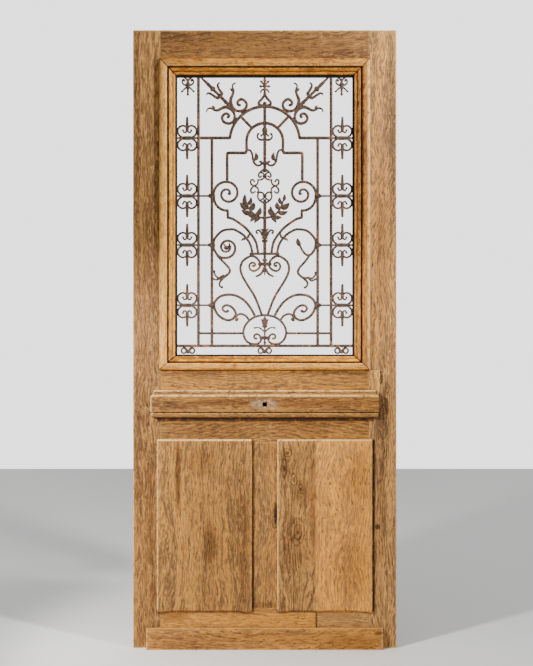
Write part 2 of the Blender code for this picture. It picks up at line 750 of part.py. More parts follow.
def outer_arch():
    """The arch, ending at the lower face of its two shoulders."""
    rise = SHOULDER_Z - ARCH_WIDTH / UNIT / 2 - ARCH_END - ARCH_Z
    foot = math.degrees(math.asin(rise / ARCH_R))
    arc = volute((0, ARCH_Z), ARCH_R, ARCH_R, foot, 180 - foot)
    shoulder = bar([(ARCH_R, SHOULDER_Z), (OUTER_X, SHOULDER_Z)], ARCH_WIDTH, ARCH_DEPTH - HAIR)
    return [bar(arc, ARCH_WIDTH, ARCH_DEPTH)] + both_sides([shoulder])


def inner_arch():
    """A smaller arch, its legs stepping out over the consoles, with two spokes outwards."""
    arc = volute((0, ARCH_Z), INNER_ARCH_R, INNER_ARCH_R, 0, 180)
    shoulder_x = INNER_LEG_X + ARCH_WIDTH / UNIT / 2
    slant = math.radians(46)
    spoke = [(r * math.cos(slant), ARCH_Z + r * math.sin(slant)) for r in (INNER_ARCH_R, ARCH_R)]
    side = [
        bar([(INNER_ARCH_R, ARCH_Z + 1), (INNER_ARCH_R, INNER_SHOULDER_Z)], ARCH_WIDTH, ARCH_DEPTH - 2 * HAIR),
        bar([(INNER_ARCH_R - 3.9, INNER_SHOULDER_Z), (shoulder_x, INNER_SHOULDER_Z)],
            ARCH_WIDTH, ARCH_DEPTH - 4 * HAIR),
        bar([(INNER_LEG_X, INNER_SHOULDER_Z), (INNER_LEG_X, 639)], ARCH_WIDTH, ARCH_DEPTH - 6 * HAIR),
        bar(spoke, SCROLL_WIDTH, SCROLL_DEPTH),
    ]
    return [bar(arc, ARCH_WIDTH, ARCH_DEPTH)] + both_sides(side)


def spindle():
    """The central bar under the arches, with a bulb, a crown of curls and two leafy brackets."""
    shaft = bar([(0, ARCH_Z + ARCH_R), (0, 690)], SPINDLE_WIDTH, SPINDLE_DEPTH)
    bulb = bar([(0, 834), (0, 823), (0, 806)], 16 * UNIT, 14 * UNIT, (0.5, 1, 0.6))
    crown = curl(paired([(0, 791), (13, 787), (24, 792), (27, 803), (19, 808)]), (0.8, 1, 1, 0.8))
    cap = bar(paired([(0, 811), (22, 800)]), 4 * UNIT, 6 * UNIT)
    tie = bar([(-13, 700), (13, 700)], 8 * UNIT, 11.5 * UNIT)
    bracket = [
        curl([(64, 748), (54, 748), (46, 735), (41, 707), (29, 693), (15, 694), (10, 703), (16, 707)],
             (0.8, 1, 1, 0.8), 7 * UNIT, 9.5 * UNIT),
        leaf((39, 704), (33, 740), 10, 6.5 * UNIT),
    ]
    return [shaft, bulb, crown, cap, tie] + both_sides(bracket)


def top_finial():
    """An onion-shaped loop on the outer arch, with a leafy tip that reaches the frame."""
    arch_top = ARCH_Z + ARCH_R
    foot = bar([(-22, arch_top + 4), (22, arch_top + 4)], 8.5 * UNIT, 8.2 * UNIT)
    ball = bar([(0, arch_top), (0, 921), (0, 930)], 12 * UNIT, 9.6 * UNIT, (0.5, 1, 0.4))
    stem = bar([(0, 942), (0, 975), (0, SHEET_Z + 2)], 5.5 * UNIT, 8.6 * UNIT, (1.5, 0.9, 0.8))
    arms = bar(paired([(8, 971), (17, 961)]), 4.5 * UNIT, 6.6 * UNIT, (0.7, 1, 1, 0.7))
    lobes = bar([(-18, 983), (18, 983)], 7 * UNIT, 6.2 * UNIT)
    tip = bar([(0, 1001), (0, 1008), (0, SHEET_Z + 1)], 13 * UNIT, 5.8 * UNIT, (0.4, 1, 0.3))
    side = [
        bar([(1, 950), (6, 940), (23, 926), (21, 910)], 6.5 * UNIT, 7.8 * UNIT),
        leaf((1, 985), (14, 1004), 7, 5.4 * UNIT),
    ]
    return [foot, ball, stem, arms, lobes, tip] + both_sides(side)


# The wreath and the bouquet

def wreath():
    """Pairs of curls one below another, from the spindle's foot down to the stem's head."""
    neck = bar([(0, 693), (0, 675)], SPINDLE_WIDTH, 8.2 * UNIT)
    hooks = bar(paired([(9, 679), (23, 663), (21, 652), (13, 655)]), CURL_WIDTH, 7.1 * UNIT, (0.8, 1, 0.8))
    boss = bar([(-4.5, 654), (4.5, 654)], 12 * UNIT, 8.8 * UNIT)
    nut = bar([(-4.5, 581), (4.5, 581)], 11 * UNIT, 9 * UNIT)
    cup = bar(paired([(9, 558), (25, 573), (25, 587), (17, 593)]), 5.6 * UNIT, 7 * UNIT, (0.8, 1, 0.8))
    side = [
        bar([(15, 672), (4, 661), (4, 646), (25, 641), (38, 620), (25, 602), (4, 588), (4, 574), (15, 564)],
            CURL_WIDTH, 7.6 * UNIT, (0.9, 1, 0.9)),
        bar([(35, 634), (44, 641), (52, 632), (40, 619), (52, 605), (46, 594), (36, 597)],
            5 * UNIT, 6.5 * UNIT, (0.8, 1, 0.8)),
    ]
    foot = bar([(0, 564), (0, 547)], 10 * UNIT, 8.6 * UNIT)
    return [neck, foot, hooks, boss, nut, cup] + both_sides(side)


LEFT_BRANCH = ((0, 501), (20, 505), (50, 525), (68, 561), (73, 583))
LEFT_LEAVES = (((47, 524), (45, 560), 15), ((50, 527), (89, 552), 13), ((42, 520), (78, 527), 7),
               ((17, 505), (25, 537), 9), ((14, 504), (52, 490), 6), ((68, 558), (60, 573), 7))
RIGHT_BRANCH = ((0, 501), (31, 510), (55, 528), (68, 561), (71, 579))
RIGHT_LEAVES = (((54, 528), (49, 561), 10), ((57, 532), (88, 554), 13), ((38, 515), (56, 507), 10),
                ((20, 507), (27, 541), 8), ((15, 503), (37, 482), 9), ((67, 556), (61, 569), 7))


def spray(branch, leaves):
    """A branch with its leaves, each of a slightly different thickness."""
    strokes = [bar(branch, 5.5 * UNIT, 7 * UNIT, (1.2, 1, 1.3))]
    for number, (base, tip, width) in enumerate(leaves):
        strokes.append(leaf(base, tip, width, LEAF_DEPTH + HAIR * (1 + number % 3)))
    return strokes


def bouquet():
    """The stem above the vase bar, with two sprays of leaves, a curled crown and a bulb."""
    stem = bar([(0, 549), (0, VASE_Z)], 10 * UNIT, 9.2 * UNIT)
    bulb = bar([(0, 427), (0, 419), (0, 411)], 18 * UNIT, 13.5 * UNIT, (0.6, 1, 0.6))
    boss = bar([(0, 456), (0, 443), (0, 430)], 20 * UNIT, 12.5 * UNIT, (0.6, 1, 0.6))
    crown = curl(paired([(0, 431), (9, 440), (17, 455), (29, 453)]), (0.8, 1, 0.8), 6 * UNIT)
    left = handed(spray(LEFT_BRANCH, LEFT_LEAVES), "left")
    right = [stroke._replace(depth=stroke.depth + HAIR) for stroke in spray(RIGHT_BRANCH, RIGHT_LEAVES)]
    return [stem, bulb, boss, crown] + left + right


# The corners and the side strips

def corner_spear():
    """A barbed spear into the corner of the centre bay, on two flame-like scrolls."""
    head = bar([(235.5, SHEET_Z + 1.5), (203, 984), (192, 975)], 13 * UNIT, 8 * UNIT, (0.2, 1, 1.0, 0.4))
    collar = bar([(194, 977), (189, 972), (184, 967)], 16 * UNIT, 13.5 * UNIT, (0.6, 1, 0.6))
    shaft = bar([(196, 979), (110, 893)], 7.5 * UNIT, 8.8 * UNIT)
    tines = curl([(163, 992), (171, 980), (156, 951), (162, 944), (171, 938), (196, 955), (209, 950)],
                 (0.5, 1, 1.3, 1, 0.5), 6.2 * UNIT, 7.4 * UNIT)
    upper = curl([(106, 993), (117, 986), (116, 965), (125, 928), (114, 901), (90, 889), (69, 902),
                  (70, 926), (89, 933), (98, 918)], (0.5, 1, 1, 1, 0.9), 6.8 * UNIT, 9.8 * UNIT)
    lower = curl([(213, 888), (203, 900), (176, 892), (141, 906), (117, 892), (111, 866), (130, 847),
                  (153, 859), (146, 881), (130, 873)], (0.5, 1, 1, 1, 0.9), 6.8 * UNIT, 10.1 * UNIT)
    rivets = [bar([(88, 892), (76, 878)], 7 * UNIT, 8.5 * UNIT), bar([(114, 868), (98, 860)], 7 * UNIT, 8.3 * UNIT)]
    barbs = [leaf((117, 966), (125, 975), 6), leaf((187, 895), (190, 908), 6, LEAF_DEPTH + HAIR)]
    return [shaft, head, collar, tines, upper, lower] + rivets + barbs


def pendant():
    """A small drop under the top bar: a V, two curls, and three legs from a knot."""
    fork = bar(paired([(0, 1004), (10.5, SHEET_Z + 2)]), 5 * UNIT, 6.2 * UNIT)
    curls = curl(paired([(0, 987), (13, 989), (22, 997), (20, 1006)]), (0.8, 1, 0.8), CURL_WIDTH, 7.2 * UNIT)
    legs = bar(paired([(0, 978), (21, 961)]), 5.8 * UNIT, 6.7 * UNIT, (0.7, 1, 0.7))
    body = bar([(0, 1009), (0, 989), (0, 975), (0, 949)], 6.8 * UNIT, 9.2 * UNIT, (0.9, 1.4, 1.1, 0.7))
    return moved([body, fork, curls, legs], PENDANT_X, 0)


def cartouche(z):
    """Two spears base to base, each through a heart-shaped curl, tied to both sides."""
    heart = bar(paired([(9, 43), (28, 40), (34, 19), (15, 2)]), CURL_WIDTH, 8 * UNIT)
    spear = bar([(0, 22), (0, 50), (0, 76)], 7.5 * UNIT, 7.3 * UNIT, (0.7, 1, 1, 0.5))
    upper = [heart, spear]
    lower = [stroke._replace(points=[(x, -v) for x, v in stroke.points]) for stroke in upper]
    tie = bar([(OUTER_X - CARTOUCHE_X, 0), (SHEET_X / 2 - CARTOUCHE_X, 0)], 4.5 * UNIT, 5.5 * UNIT)
    band = bar([(-18, 0), (18, 0)], 10.5 * UNIT, 9.2 * UNIT)
    return moved([band, tie] + upper + lower, CARTOUCHE_X, z)


def foot_scroll(x):
    """Two round curls back to back between the cross bar and the bottom of the frame."""
    ring = bar(volute((13.2, 14.1), 11.2, 11.2, 40, 310), 4.8 * UNIT, 7.5 * UNIT)
    rivet = bar([(-4, 14.1), (4, 14.1)], 6 * UNIT, 6.8 * UNIT)
    return moved([rivet] + both_sides([ring]), x, 0)


# The scrollwork of the centre bay

def collar_and_tie(z):
    """A collar round the inner upright, tied across to the outer upright."""
    half = (UPRIGHT_WIDTH / 2 + COLLAR_WALL) / UNIT
    collar = bar([(INNER_X - half, z), (INNER_X + half, z)], 11 * UNIT, COLLAR_DEPTH)
    tie = bar([(INNER_X + half - 1, z), (OUTER_X, z)], 5.2 * UNIT, TIE_DEPTH)
    return [collar, tie]


def console():
    """A big volute by the inner upright, whose arm steps down and in to the vase bar."""
    roll = volute(CONSOLE_EYE, CONSOLE_R, 8, 0, 540)
    lower = smooth([(CONSOLE_EYE[0] + CONSOLE_R, CONSOLE_EYE[1] + 6), (184, 568), (166, 537), (133, 527)])
    arm = smooth([(133, 502), (113, 496), (80, 472), (50, 441), (34, 410), (25, VASE_Z)])
    step = bar([(134.5, 531), (134.5, 498)], SCROLL_WIDTH, SCROLL_DEPTH + 2 * HAIR)
    return [
        bar(roll, SCROLL_WIDTH, SCROLL_DEPTH, (1, 1, 0.9)),
        bar(lower, SCROLL_WIDTH, SCROLL_DEPTH - HAIR),
        bar(arm, SCROLL_WIDTH, SCROLL_DEPTH),
        step,
    ] + collar_and_tie(CARTOUCHE_ZS[1])


def mid_arc():
    """The arc from the inner upright over to the vase bar, with two small leaves."""
    arc = smooth([(187, 396), (177, 430), (146, 456), (113, 457), (78, 438), (57, 412), (45, VASE_Z)])
    return [
        bar(arc, 7 * UNIT, SCROLL_DEPTH),
        leaf((69, 429), (86, 418), 7, 7.2 * UNIT),
        leaf((64, 421), (60, 442), 7, 6.8 * UNIT),
    ]


def mid_tail(points, hook):
    """The tail that hangs from the mid scroll, with two leaves to the collar side."""
    return [
        bar(smooth(points), 6.8 * UNIT, SCROLL_DEPTH - 3 * HAIR, (1, 1, 1, 0.8)),
        leaf(hook, (186, 306), 10, 7.5 * UNIT),
        leaf(hook, (187, 280), 8, 6.8 * UNIT),
    ]


def mid_scroll_whole():
    """The whole mid scroll: a spiral round a rosette, and a tail that ends in curled leaves."""
    spiral = smooth([(186, 404), (173, 368), (143, 354), (113, 370), (110, 403), (136, 417), (159, 398),
                     (148, 377), (127, 382), (128, 401), (141, 399)])
    rosette = bar([(140, 402), (140, 392), (140, 382)], 14 * UNIT, 11.8 * UNIT, (0.6, 1, 0.6))
    tail = [(177, 370), (159, 348), (134, 322), (127, 305), (143, 288), (164, 262), (157, 246)]
    return mid_arc() + [
        bar(spiral, 7 * UNIT, SCROLL_DEPTH - 2 * HAIR, (1, 1, 1, 0.8)),
        rosette,
    ] + mid_tail(tail, (139, 291)) + collar_and_tie(CARTOUCHE_ZS[2])


def mid_scroll_broken():
    """The other mid scroll has lost its spiral: a short stub with a bud is left, and its tail."""
    stub = smooth([(186, 404), (176, 374), (161, 364), (145, 370), (131, 392), (123, 412)])
    bud = bar([(127, 400), (123, 412), (119, 424)], 13 * UNIT, 9.2 * UNIT, (0.4, 1, 0.2))
    tail = [(164, 366), (153, 351), (124, 317), (121, 300), (139, 282), (156, 262), (147, 244)]
    return mid_arc() + [
        bar(stub, 7 * UNIT, SCROLL_DEPTH - 2 * HAIR),
        bud,
    ] + mid_tail(tail, (138, 283)) + collar_and_tie(CARTOUCHE_ZS[2])


def lower_scroll():
    """A scroll that springs from the ring, rolls against the inner upright, and has a sprig."""
    roll = smooth([(37, 143), (52, 171), (92, 210), (135, 219), (174, 203), (183, 178), (164, 142),
                   (130, 126), (106, 146), (122, 175), (148, 177), (147, 161)])
    sprig = smooth([(54, 124), (69, 142), (86, 149), (103, 141), (101, 129)])
    return [
        bar(roll, SCROLL_WIDTH, SCROLL_DEPTH, (1, 1, 1, 0.85)),
        bar(sprig, 6.8 * UNIT, SCROLL_DEPTH - 2 * HAIR, (1, 1, 1, 1.3)),
        bar([(66, 140), (53, 171)], 6 * UNIT, SCROLL_DEPTH - 4 * HAIR),
    ] + collar_and_tie(CARTOUCHE_ZS[3])


def vase_bar():
    return [bar([(-55, VASE_Z), (53, VASE_Z)], 6.8 * UNIT, 13 * UNIT)]


def lyre():
    """One bar from the inner curl up through the collar, over, and down to the ring."""
    path = smooth([(39, 322), (38, 333), (52, 334), (54, 314), (38, 306), (19, 318), (16, 331), (21, 345),
                   (46, 361), (76, 346), (88, 317), (76, 279), (44, 226), (11, 145)])
    return [bar(path, SCROLL_WIDTH - 0.0005, SCROLL_DEPTH, (0.8, 1, 1, 1, 1))]


def heart_collar():
    """A collar round the two lyre bars and a stem, ending below in a three-pointed drop."""
    collar = bar([(-23, 331.5), (23, 331.5)], 9 * UNIT, COLLAR_DEPTH)
    stem = bar([(0, VASE_Z), (0, 312), (0, 294)], 8 * UNIT, 9.5 * UNIT, (1, 1, 1, 0.5))
    tine = bar([(1, 318), (9, 303), (18, 292), (29, 287)], 5 * UNIT, 7.5 * UNIT, (1.2, 1, 0.8))
    return [stem, collar] + both_sides([tine])


def ring_loops():
    """The two curls that make up the bottom ring."""
    loop = smooth([(-4, 145), (40, 136), (72, 106), (78, 76), (62, 47), (36, 40), (13, 52), (12, 66),
                   (23, 77), (36, 71), (35, 60)])
    return both_sides([bar(loop, 6.5 * UNIT, SCROLL_DEPTH - 1 * UNIT, (1, 1, 1, 0.9))])


def ring():
    """The bottom ring: two curls gathered in a collar, with a bud and two tendrils inside."""
    collar = bar([(-18, 61.5), (18, 61.5)], 10 * UNIT, 12.5 * UNIT)
    stem = bar([(0, CROSS_Z), (0, 110)], 5 * UNIT, 6.8 * UNIT)
    bud = bar([(0, 101), (0, 109), (0, 120), (0, 141)], 34 * UNIT, 12 * UNIT, (0.35, 0.9, 0.95, 0.1))
    tendrils = curl(paired([(0, 82), (13, 94), (24, 99), (37, 97)]), (0.8, 1, 0.8), 4.5 * UNIT, 6 * UNIT)
    return ring_loops() + [collar, stem, bud, tendrils]


def grille():
    """Every iron piece, each cut back from the neighbours that it meets."""
    frame = frame_bars()
    cross = cross_bar()
    arch = outer_arch()
    vase = vase_bar()
    loops = ring_loops()
    shaft = spindle()[:1]
    sides = ("left", "right")
    lyres = {side: handed(lyre(), side) for side in sides}
    consoles = {side: handed(console(), side) for side in sides}
    outer_uprights = {side: handed(upright(OUTER_X, SHEET_Z + 3), side) for side in sides}
    inner_uprights = {side: handed(upright(INNER_X, SHOULDER_Z), side) for side in sides}
    low_bars = {side: handed(low_bar(), side) for side in sides}

    for side, strokes in frame.items():
        forge("grille_frame_" + side, strokes)
    forge("cross_bar_bottom", cross, frame["left"] + frame["right"])
    forge("arch_outer", arch, outer_uprights["left"] + outer_uprights["right"])
    forge("finial_top", top_finial(), frame["top"] + arch[:1])
    forge("arch_inner", inner_arch(), arch[:1] + shaft + consoles["left"][:1] + consoles["right"][:1])
    legs = both_sides([bar([(INNER_ARCH_R, ARCH_Z), (INNER_ARCH_R, INNER_SHOULDER_Z)], ARCH_WIDTH, ARCH_DEPTH)])
    forge("spindle", spindle(), arch[:1] + legs)
    forge("wreath", wreath(), shaft)
    forge("bouquet", bouquet(), vase + wreath()[1:2])
    forge("vase_bar", vase)
    forge("heart_collar", heart_collar(), vase + lyres["left"] + lyres["right"])
    forge("ring_bottom", ring(), cross)
    for place, x in FOOT_XS.items():
        forge("foot_scroll_" + place, foot_scroll(x), cross + frame["bottom"])
    for side in sides:
        uprights = outer_uprights[side] + inner_uprights[side]
        forge("upright_outer_" + side, outer_uprights[side], frame["top"] + cross)
        forge("upright_inner_" + side, inner_uprights[side], arch[1:] + cross + low_bars[side])
        forge("low_bar_" + side, low_bars[side], outer_uprights[side] + loops)
        spear = handed(corner_spear(), side)
        forge("corner_spear_" + side, spear, frame["top"] + outer_uprights[side] + arch[:1])
        forge("pendant_" + side, handed(pendant(), side), frame["top"])
        for number, z in enumerate(CARTOUCHE_ZS, 1):
            strokes = handed(cartouche(z), side)
            forge(f"cartouche_{side}_{number}", strokes, outer_uprights[side] + frame[side])
        forge("console_" + side, consoles[side], uprights + vase)
        mid = mid_scroll_whole() if side == "left" else mid_scroll_broken()
        forge("mid_scroll_" + side, handed(mid, side), uprights + vase + consoles[side])
        forge("lower_scroll_" + side, handed(lower_scroll(), side), uprights + loops)
        forge("lyre_" + side, lyres[side], vase + loops)


clear_scene()
DOOR = new_collection("door")
CUTTERS = new_collection("cutters")
LEAF = new_empty("leaf", (0, 0, 0))
GRILLE = new_empty("grille", (MIDDLE, GRILLE_Y, GRILLE_FOOT))
GRILLE.parent = LEAF
stiles_and_rails()
panels()
glazing_mouldings()
waist_moulding()
weatherboard()
grille()
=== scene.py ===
# %% [markdown]
# # A panelled oak door with a forged iron grille
#
# The door is an old entrance leaf: oak stiles and rails round two raised panels below, and a
# light above that is filled with scrollwork of forged iron. The solids of the leaf already
# exist, so this lesson loads them, reads its main sizes from them, and dresses the leaf in worn
# wood and rusty iron. Everything is in metres: X runs across the leaf, Z up, and its front
# looks towards -Y.

# %% Load the solids
import math

import bpy
import numpy as np
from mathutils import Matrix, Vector


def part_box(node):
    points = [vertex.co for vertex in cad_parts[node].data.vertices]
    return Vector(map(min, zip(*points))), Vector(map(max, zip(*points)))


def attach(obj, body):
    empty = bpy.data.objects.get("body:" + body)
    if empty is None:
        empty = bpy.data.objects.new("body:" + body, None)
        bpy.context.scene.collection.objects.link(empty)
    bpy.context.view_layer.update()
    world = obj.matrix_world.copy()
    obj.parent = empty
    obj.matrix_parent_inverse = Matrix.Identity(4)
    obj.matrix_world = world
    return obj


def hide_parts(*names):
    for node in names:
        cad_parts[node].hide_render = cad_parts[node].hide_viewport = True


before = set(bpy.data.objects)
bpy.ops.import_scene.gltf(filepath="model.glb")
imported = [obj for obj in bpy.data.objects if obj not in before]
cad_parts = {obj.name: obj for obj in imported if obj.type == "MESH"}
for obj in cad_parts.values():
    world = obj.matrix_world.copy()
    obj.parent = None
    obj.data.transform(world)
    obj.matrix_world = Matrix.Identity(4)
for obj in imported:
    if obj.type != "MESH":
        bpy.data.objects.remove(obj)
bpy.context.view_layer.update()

# %% [markdown]
# The camera looks straight at the leaf from half its height. A photographer who wants the
# uprights to stay parallel does the same. The lens follows from the height of the view at the
# leaf, so the distance can change without changing the framing.

# %% Camera
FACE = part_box("stile_left")[0].y
VIEW_HEIGHT = 2.424
VIEW_CENTRE = (0.4864, 0.0221)
VIEW_DISTANCE = 3.8
SENSOR = 24.0

camera_data = bpy.data.cameras.new("camera")
camera_data.sensor_fit = "VERTICAL"
camera_data.sensor_height = SENSOR
camera_data.lens = SENSOR * VIEW_DISTANCE / VIEW_HEIGHT
camera = bpy.data.objects.new("camera", camera_data)
camera.location = (VIEW_CENTRE[0], FACE - VIEW_DISTANCE, VIEW_CENTRE[1])
camera.rotation_euler = (math.radians(90), 0, 0)
bpy.context.scene.collection.objects.link(camera)
bpy.context.scene.camera = camera
print("lens", round(camera_data.lens, 1), "mm")

# %% [markdown]
# Shaders are graphs, and a few small helpers keep the cells short: one fills a node's sockets, one
# puts a node in a graph, and the others are the steps that come back again and again, such as
# sums, mixtures and stretched noise.

# %% Helpers for shader graphs
def wired(tree, node, sockets):
    """Fills a node's inputs: a number or a colour is set on the socket, another socket is linked."""
    for key, value in sockets.items():
        if isinstance(value, bpy.types.NodeSocket):
            tree.links.new(value, node.inputs[key])
        else:
            node.inputs[key].default_value = value


def put(tree, kind, sockets=None, **settings):
    """Adds a shader node with its settings and its inputs."""
    node = tree.nodes.new("ShaderNode" + kind)
    for name, value in settings.items():
        setattr(node, name, value)
    wired(tree, node, sockets or {})
    return node


def sums(tree, operation, *values, clamp=False):
    """One arithmetic step on numbers."""
    return put(tree, "Math", dict(enumerate(values)), operation=operation, use_clamp=clamp).outputs[0]


def plus(tree, total, *others):
    """A sum, added up from left to right."""
    for value in others:
        total = sums(tree, "ADD", total, value)
    return total


def less(tree, value, other, clamp=False):
    """A value less another."""
    return sums(tree, "SUBTRACT", value, other, clamp=clamp)


def times(tree, value, factor, clamp=False):
    """A product."""
    return sums(tree, "MULTIPLY", value, factor, clamp=clamp)


def centred(tree, value, strength):
    """A noise moved to lie about 0 and scaled."""
    return times(tree, less(tree, value, 0.5), strength)


def vectors(tree, operation, *values):
    """One arithmetic step on vectors."""
    return put(tree, "VectorMath", dict(enumerate(values)), operation=operation).outputs[0]


def mixed(tree, share, first, second, blend="MIX"):
    """Two colours mixed by a share."""
    node = put(tree, "Mix", {0: share, 6: first, 7: second}, data_type="RGBA", blend_type=blend)
    return node.outputs[2]


def ramped(tree, value, low, high):
    """The value rescaled so that low becomes 0 and high becomes 1, with soft shoulders."""
    return put(tree, "MapRange", {0: value, 1: low, 2: high, 3: 0.0, 4: 1.0},
               interpolation_type="SMOOTHSTEP").outputs[0]


def speckle(tree, place, scale, detail=2.0, roughness=0.55):
    """Cloudy noise, stretched by a scale for each axis."""
    stretched = vectors(tree, "MULTIPLY", place, scale)
    return put(tree, "TexNoise", {"Vector": stretched, "Scale": 1.0, "Detail": detail,
                                  "Roughness": roughness}).outputs[0]


def new_group(name, inputs, outputs):
    """A node group with named sockets; returns its tree, its input sockets and its output node."""
    tree = bpy.data.node_groups.new(name, "ShaderNodeTree")
    kinds = {"value": "NodeSocketFloat", "colour": "NodeSocketColor", "vector": "NodeSocketVector"}
    for label, kind in inputs:
        tree.interface.new_socket(label, in_out="INPUT", socket_type=kinds[kind])
    for label, kind in outputs:
        tree.interface.new_socket(label, in_out="OUTPUT", socket_type=kinds[kind])
    return tree, tree.nodes.new("NodeGroupInput").outputs, tree.nodes.new("NodeGroupOutput")


def placed(tree, group, sockets):
    """The group as a node in another graph; returns its outputs."""
    node = tree.nodes.new("ShaderNodeGroup")
    node.node_tree = group
    wired(tree, node, sockets)
    return node.outputs


def new_material(name):
    """A new material; returns it with its graph and its surface shader."""
    material = bpy.data.materials.new(name)
    material.use_nodes = True
    return material, material.node_tree, material.node_tree.nodes["Principled BSDF"]


print("graph helpers ready")

# %% [markdown]
# Studio light for joinery: a pale room lights every side softly, and two lamps rake across the
# relief. One stands low on the left and serves the panels, the other high on the right and
# serves the light above, so each moulding gets a bright edge and a shadow. The floor is a plain
# pale sheet.

# %% Room, lamps and floor
def lamp(name, place, target, cone, power, radius, colour):
    """A round lamp in a hood, at a place and turned towards a target, with a soft-edged cone."""
    data = bpy.data.lights.new(name, "SPOT")
    data.spot_size = math.radians(cone)
    data.spot_blend = 0.6
    data.shadow_soft_size = radius
    data.energy = power
    data.color = colour
    hood = bpy.data.objects.new(name, data)
    hood.location = place
    hood.rotation_euler = (Vector(target) - Vector(place)).to_track_quat("-Z", "Y").to_euler()
    bpy.context.scene.collection.objects.link(hood)
    return hood


# the room lights the leaf more softly than the bright backdrop that the camera sees behind it
ROOM_LIGHT = 0.66
BACKDROP_LIGHT = 2.3
WARM_WHITE = (1.0, 0.98, 0.95)
lamp("low_left", (-1.04, FACE - 1.63, 0.42), (0.60, FACE, -0.80), 58, 345.0, 0.10, WARM_WHITE)
lamp("high_right", (2.1, FACE - 1.5, 1.6), (0.28, FACE, 0.62), 54, 410.0, 0.12, WARM_WHITE)

room = bpy.data.worlds.new("room")
room.use_nodes = True
camera_ray = put(room.node_tree, "LightPath").outputs["Is Camera Ray"]
level = put(room.node_tree, "MapRange",
            {"Value": camera_ray, "To Min": ROOM_LIGHT, "To Max": BACKDROP_LIGHT})
wired(room.node_tree, room.node_tree.nodes["Background"],
      {"Color": (1.0, 1.0, 1.0, 1), "Strength": level.outputs["Result"]})
bpy.context.scene.world = room

FLOOR_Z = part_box("stile_left")[0].z
floor_mesh = bpy.data.meshes.new("floor")
floor_mesh.from_pydata([(x, y, FLOOR_Z) for x, y in ((-6, -7), (7, -7), (7, 5), (-6, 5))], [],
                       [(0, 1, 2, 3)])
floor = bpy.data.objects.new("floor", floor_mesh)
bpy.context.scene.collection.objects.link(floor)
floor_paint, floor_tree, floor_shader = new_material("floor_paint")
wired(floor_tree, floor_shader, {"Base Color": (0.93, 0.93, 0.92, 1), "Roughness": 0.9})
floor_mesh.materials.append(floor_paint)
print("floor at", round(FLOOR_Z, 3))

# %% [markdown]
# Oak shows three things at once: fine fibres and open pores that run with the grain, broad
# streaks where the summers' growth differs, and arched figure where the saw cut across the
# rings. Each is noise stretched along the grain, at its own scale. The group takes the grain
# along Z, so a rail turns its coordinates before it enters.

# %% The oak group
PORE = (0.040, 0.015, 0.004, 1)
GLEAM = (0.66, 0.39, 0.13, 1)
LOOP = (0.78, 0.48, 0.18, 1)


def ridge(tree, value, width):
    """1 on the contour where a noise passes its middle value, fading over a width: a thin loop."""
    distance = sums(tree, "ABSOLUTE", less(tree, value, 0.5))
    return less(tree, 1.0, ramped(tree, distance, 0.0, width))


def oak_group():
    """Fibres, flecks, streaks and figure make one tone; loops, pores and gleams are drawn over it.

    The tone is 0.5 plus each noise, less its middle value, times its strength. The noises of three
    sizes added to the place make the fibres wander.
    """
    tree, given, leave = new_group(
        "oak grain",
        [("Place", "vector"), ("Light", "colour"), ("Middle", "colour"), ("Dark", "colour"),
         ("Figure", "value"), ("Streaks", "value"), ("Contrast", "value")],
        [("Color", "colour"), ("Height", "value")])
    place = given["Place"]
    shift = plus(tree, centred(tree, speckle(tree, place, (6.0, 6.0, 2.6), 2.0), 0.075),
                 centred(tree, speckle(tree, place, (40.0, 40.0, 16.0), 2.0), 0.014),
                 centred(tree, speckle(tree, place, (110.0, 60.0, 40.0), 1.0), 0.004))
    wandering = vectors(tree, "ADD", place, put(tree, "CombineXYZ", {0: shift}).outputs[0])

    fibres = speckle(tree, wandering, (640.0, 320.0, 20.0), 3.0, 0.7)
    flecks = speckle(tree, wandering, (290.0, 150.0, 17.0), 3.0, 0.7)
    streaks = speckle(tree, wandering, (70.0, 40.0, 1.7), 3.0, 0.6)
    broad = speckle(tree, wandering, (15.0, 12.0, 1.4), 2.0, 0.5)

    across = put(tree, "SeparateXYZ", {0: wandering}).outputs[0]
    arch = speckle(tree, place, (5.5, 5.5, 1.3), 1.0)
    rings = sums(tree, "SINE", plus(tree, times(tree, across, 520.0), times(tree, arch, 170.0)))
    rings = times(tree, rings, given["Figure"])

    tone = plus(tree, centred(tree, fibres, 1.3), centred(tree, flecks, 3.1),
                times(tree, centred(tree, streaks, 1.0), given["Streaks"]),
                centred(tree, broad, 1.3), times(tree, rings, 0.26))
    tone = plus(tree, times(tree, tone, given["Contrast"]), 0.5)
    dark_half = times(tree, tone, 2.0, clamp=True)
    light_half = less(tree, times(tree, tone, 2.0), 1.0, clamp=True)
    colour = mixed(tree, dark_half, given["Dark"], given["Middle"])
    colour = mixed(tree, light_half, colour, given["Light"])

    aside = vectors(tree, "ADD", wandering, (2.3, 0.0, 4.1))
    broken = ramped(tree, speckle(tree, aside, (60.0, 60.0, 40.0), 1.0), 0.40, 0.62)
    loops = ridge(tree, speckle(tree, wandering, (130.0, 60.0, 13.0), 1.5), 0.042)
    loops = times(tree, loops, broken)
    seams = ridge(tree, speckle(tree, aside, (130.0, 60.0, 13.0), 1.5), 0.045)
    seams = times(tree, seams, less(tree, 1.0, broken))
    pores = ramped(tree, speckle(tree, wandering, (400.0, 190.0, 42.0), 1.0), 0.61, 0.72)
    gleams = ramped(tree, speckle(tree, aside, (300.0, 160.0, 60.0), 1.0), 0.66, 0.78)
    for mask, strength, drawn in ((loops, 0.9, given["Light"]), (loops, 0.12, LOOP),
                                  (seams, 0.75, given["Dark"]), (pores, 0.75, PORE), (gleams, 0.4, GLEAM)):
        colour = mixed(tree, times(tree, mask, strength), colour, drawn)

    height = less(tree, times(tree, fibres, 0.4), times(tree, pores, 0.9))
    height = plus(tree, height, times(tree, streaks, 0.3), times(tree, flecks, 0.6))
    wired(tree, leave, {"Color": colour, "Height": height})
    return tree


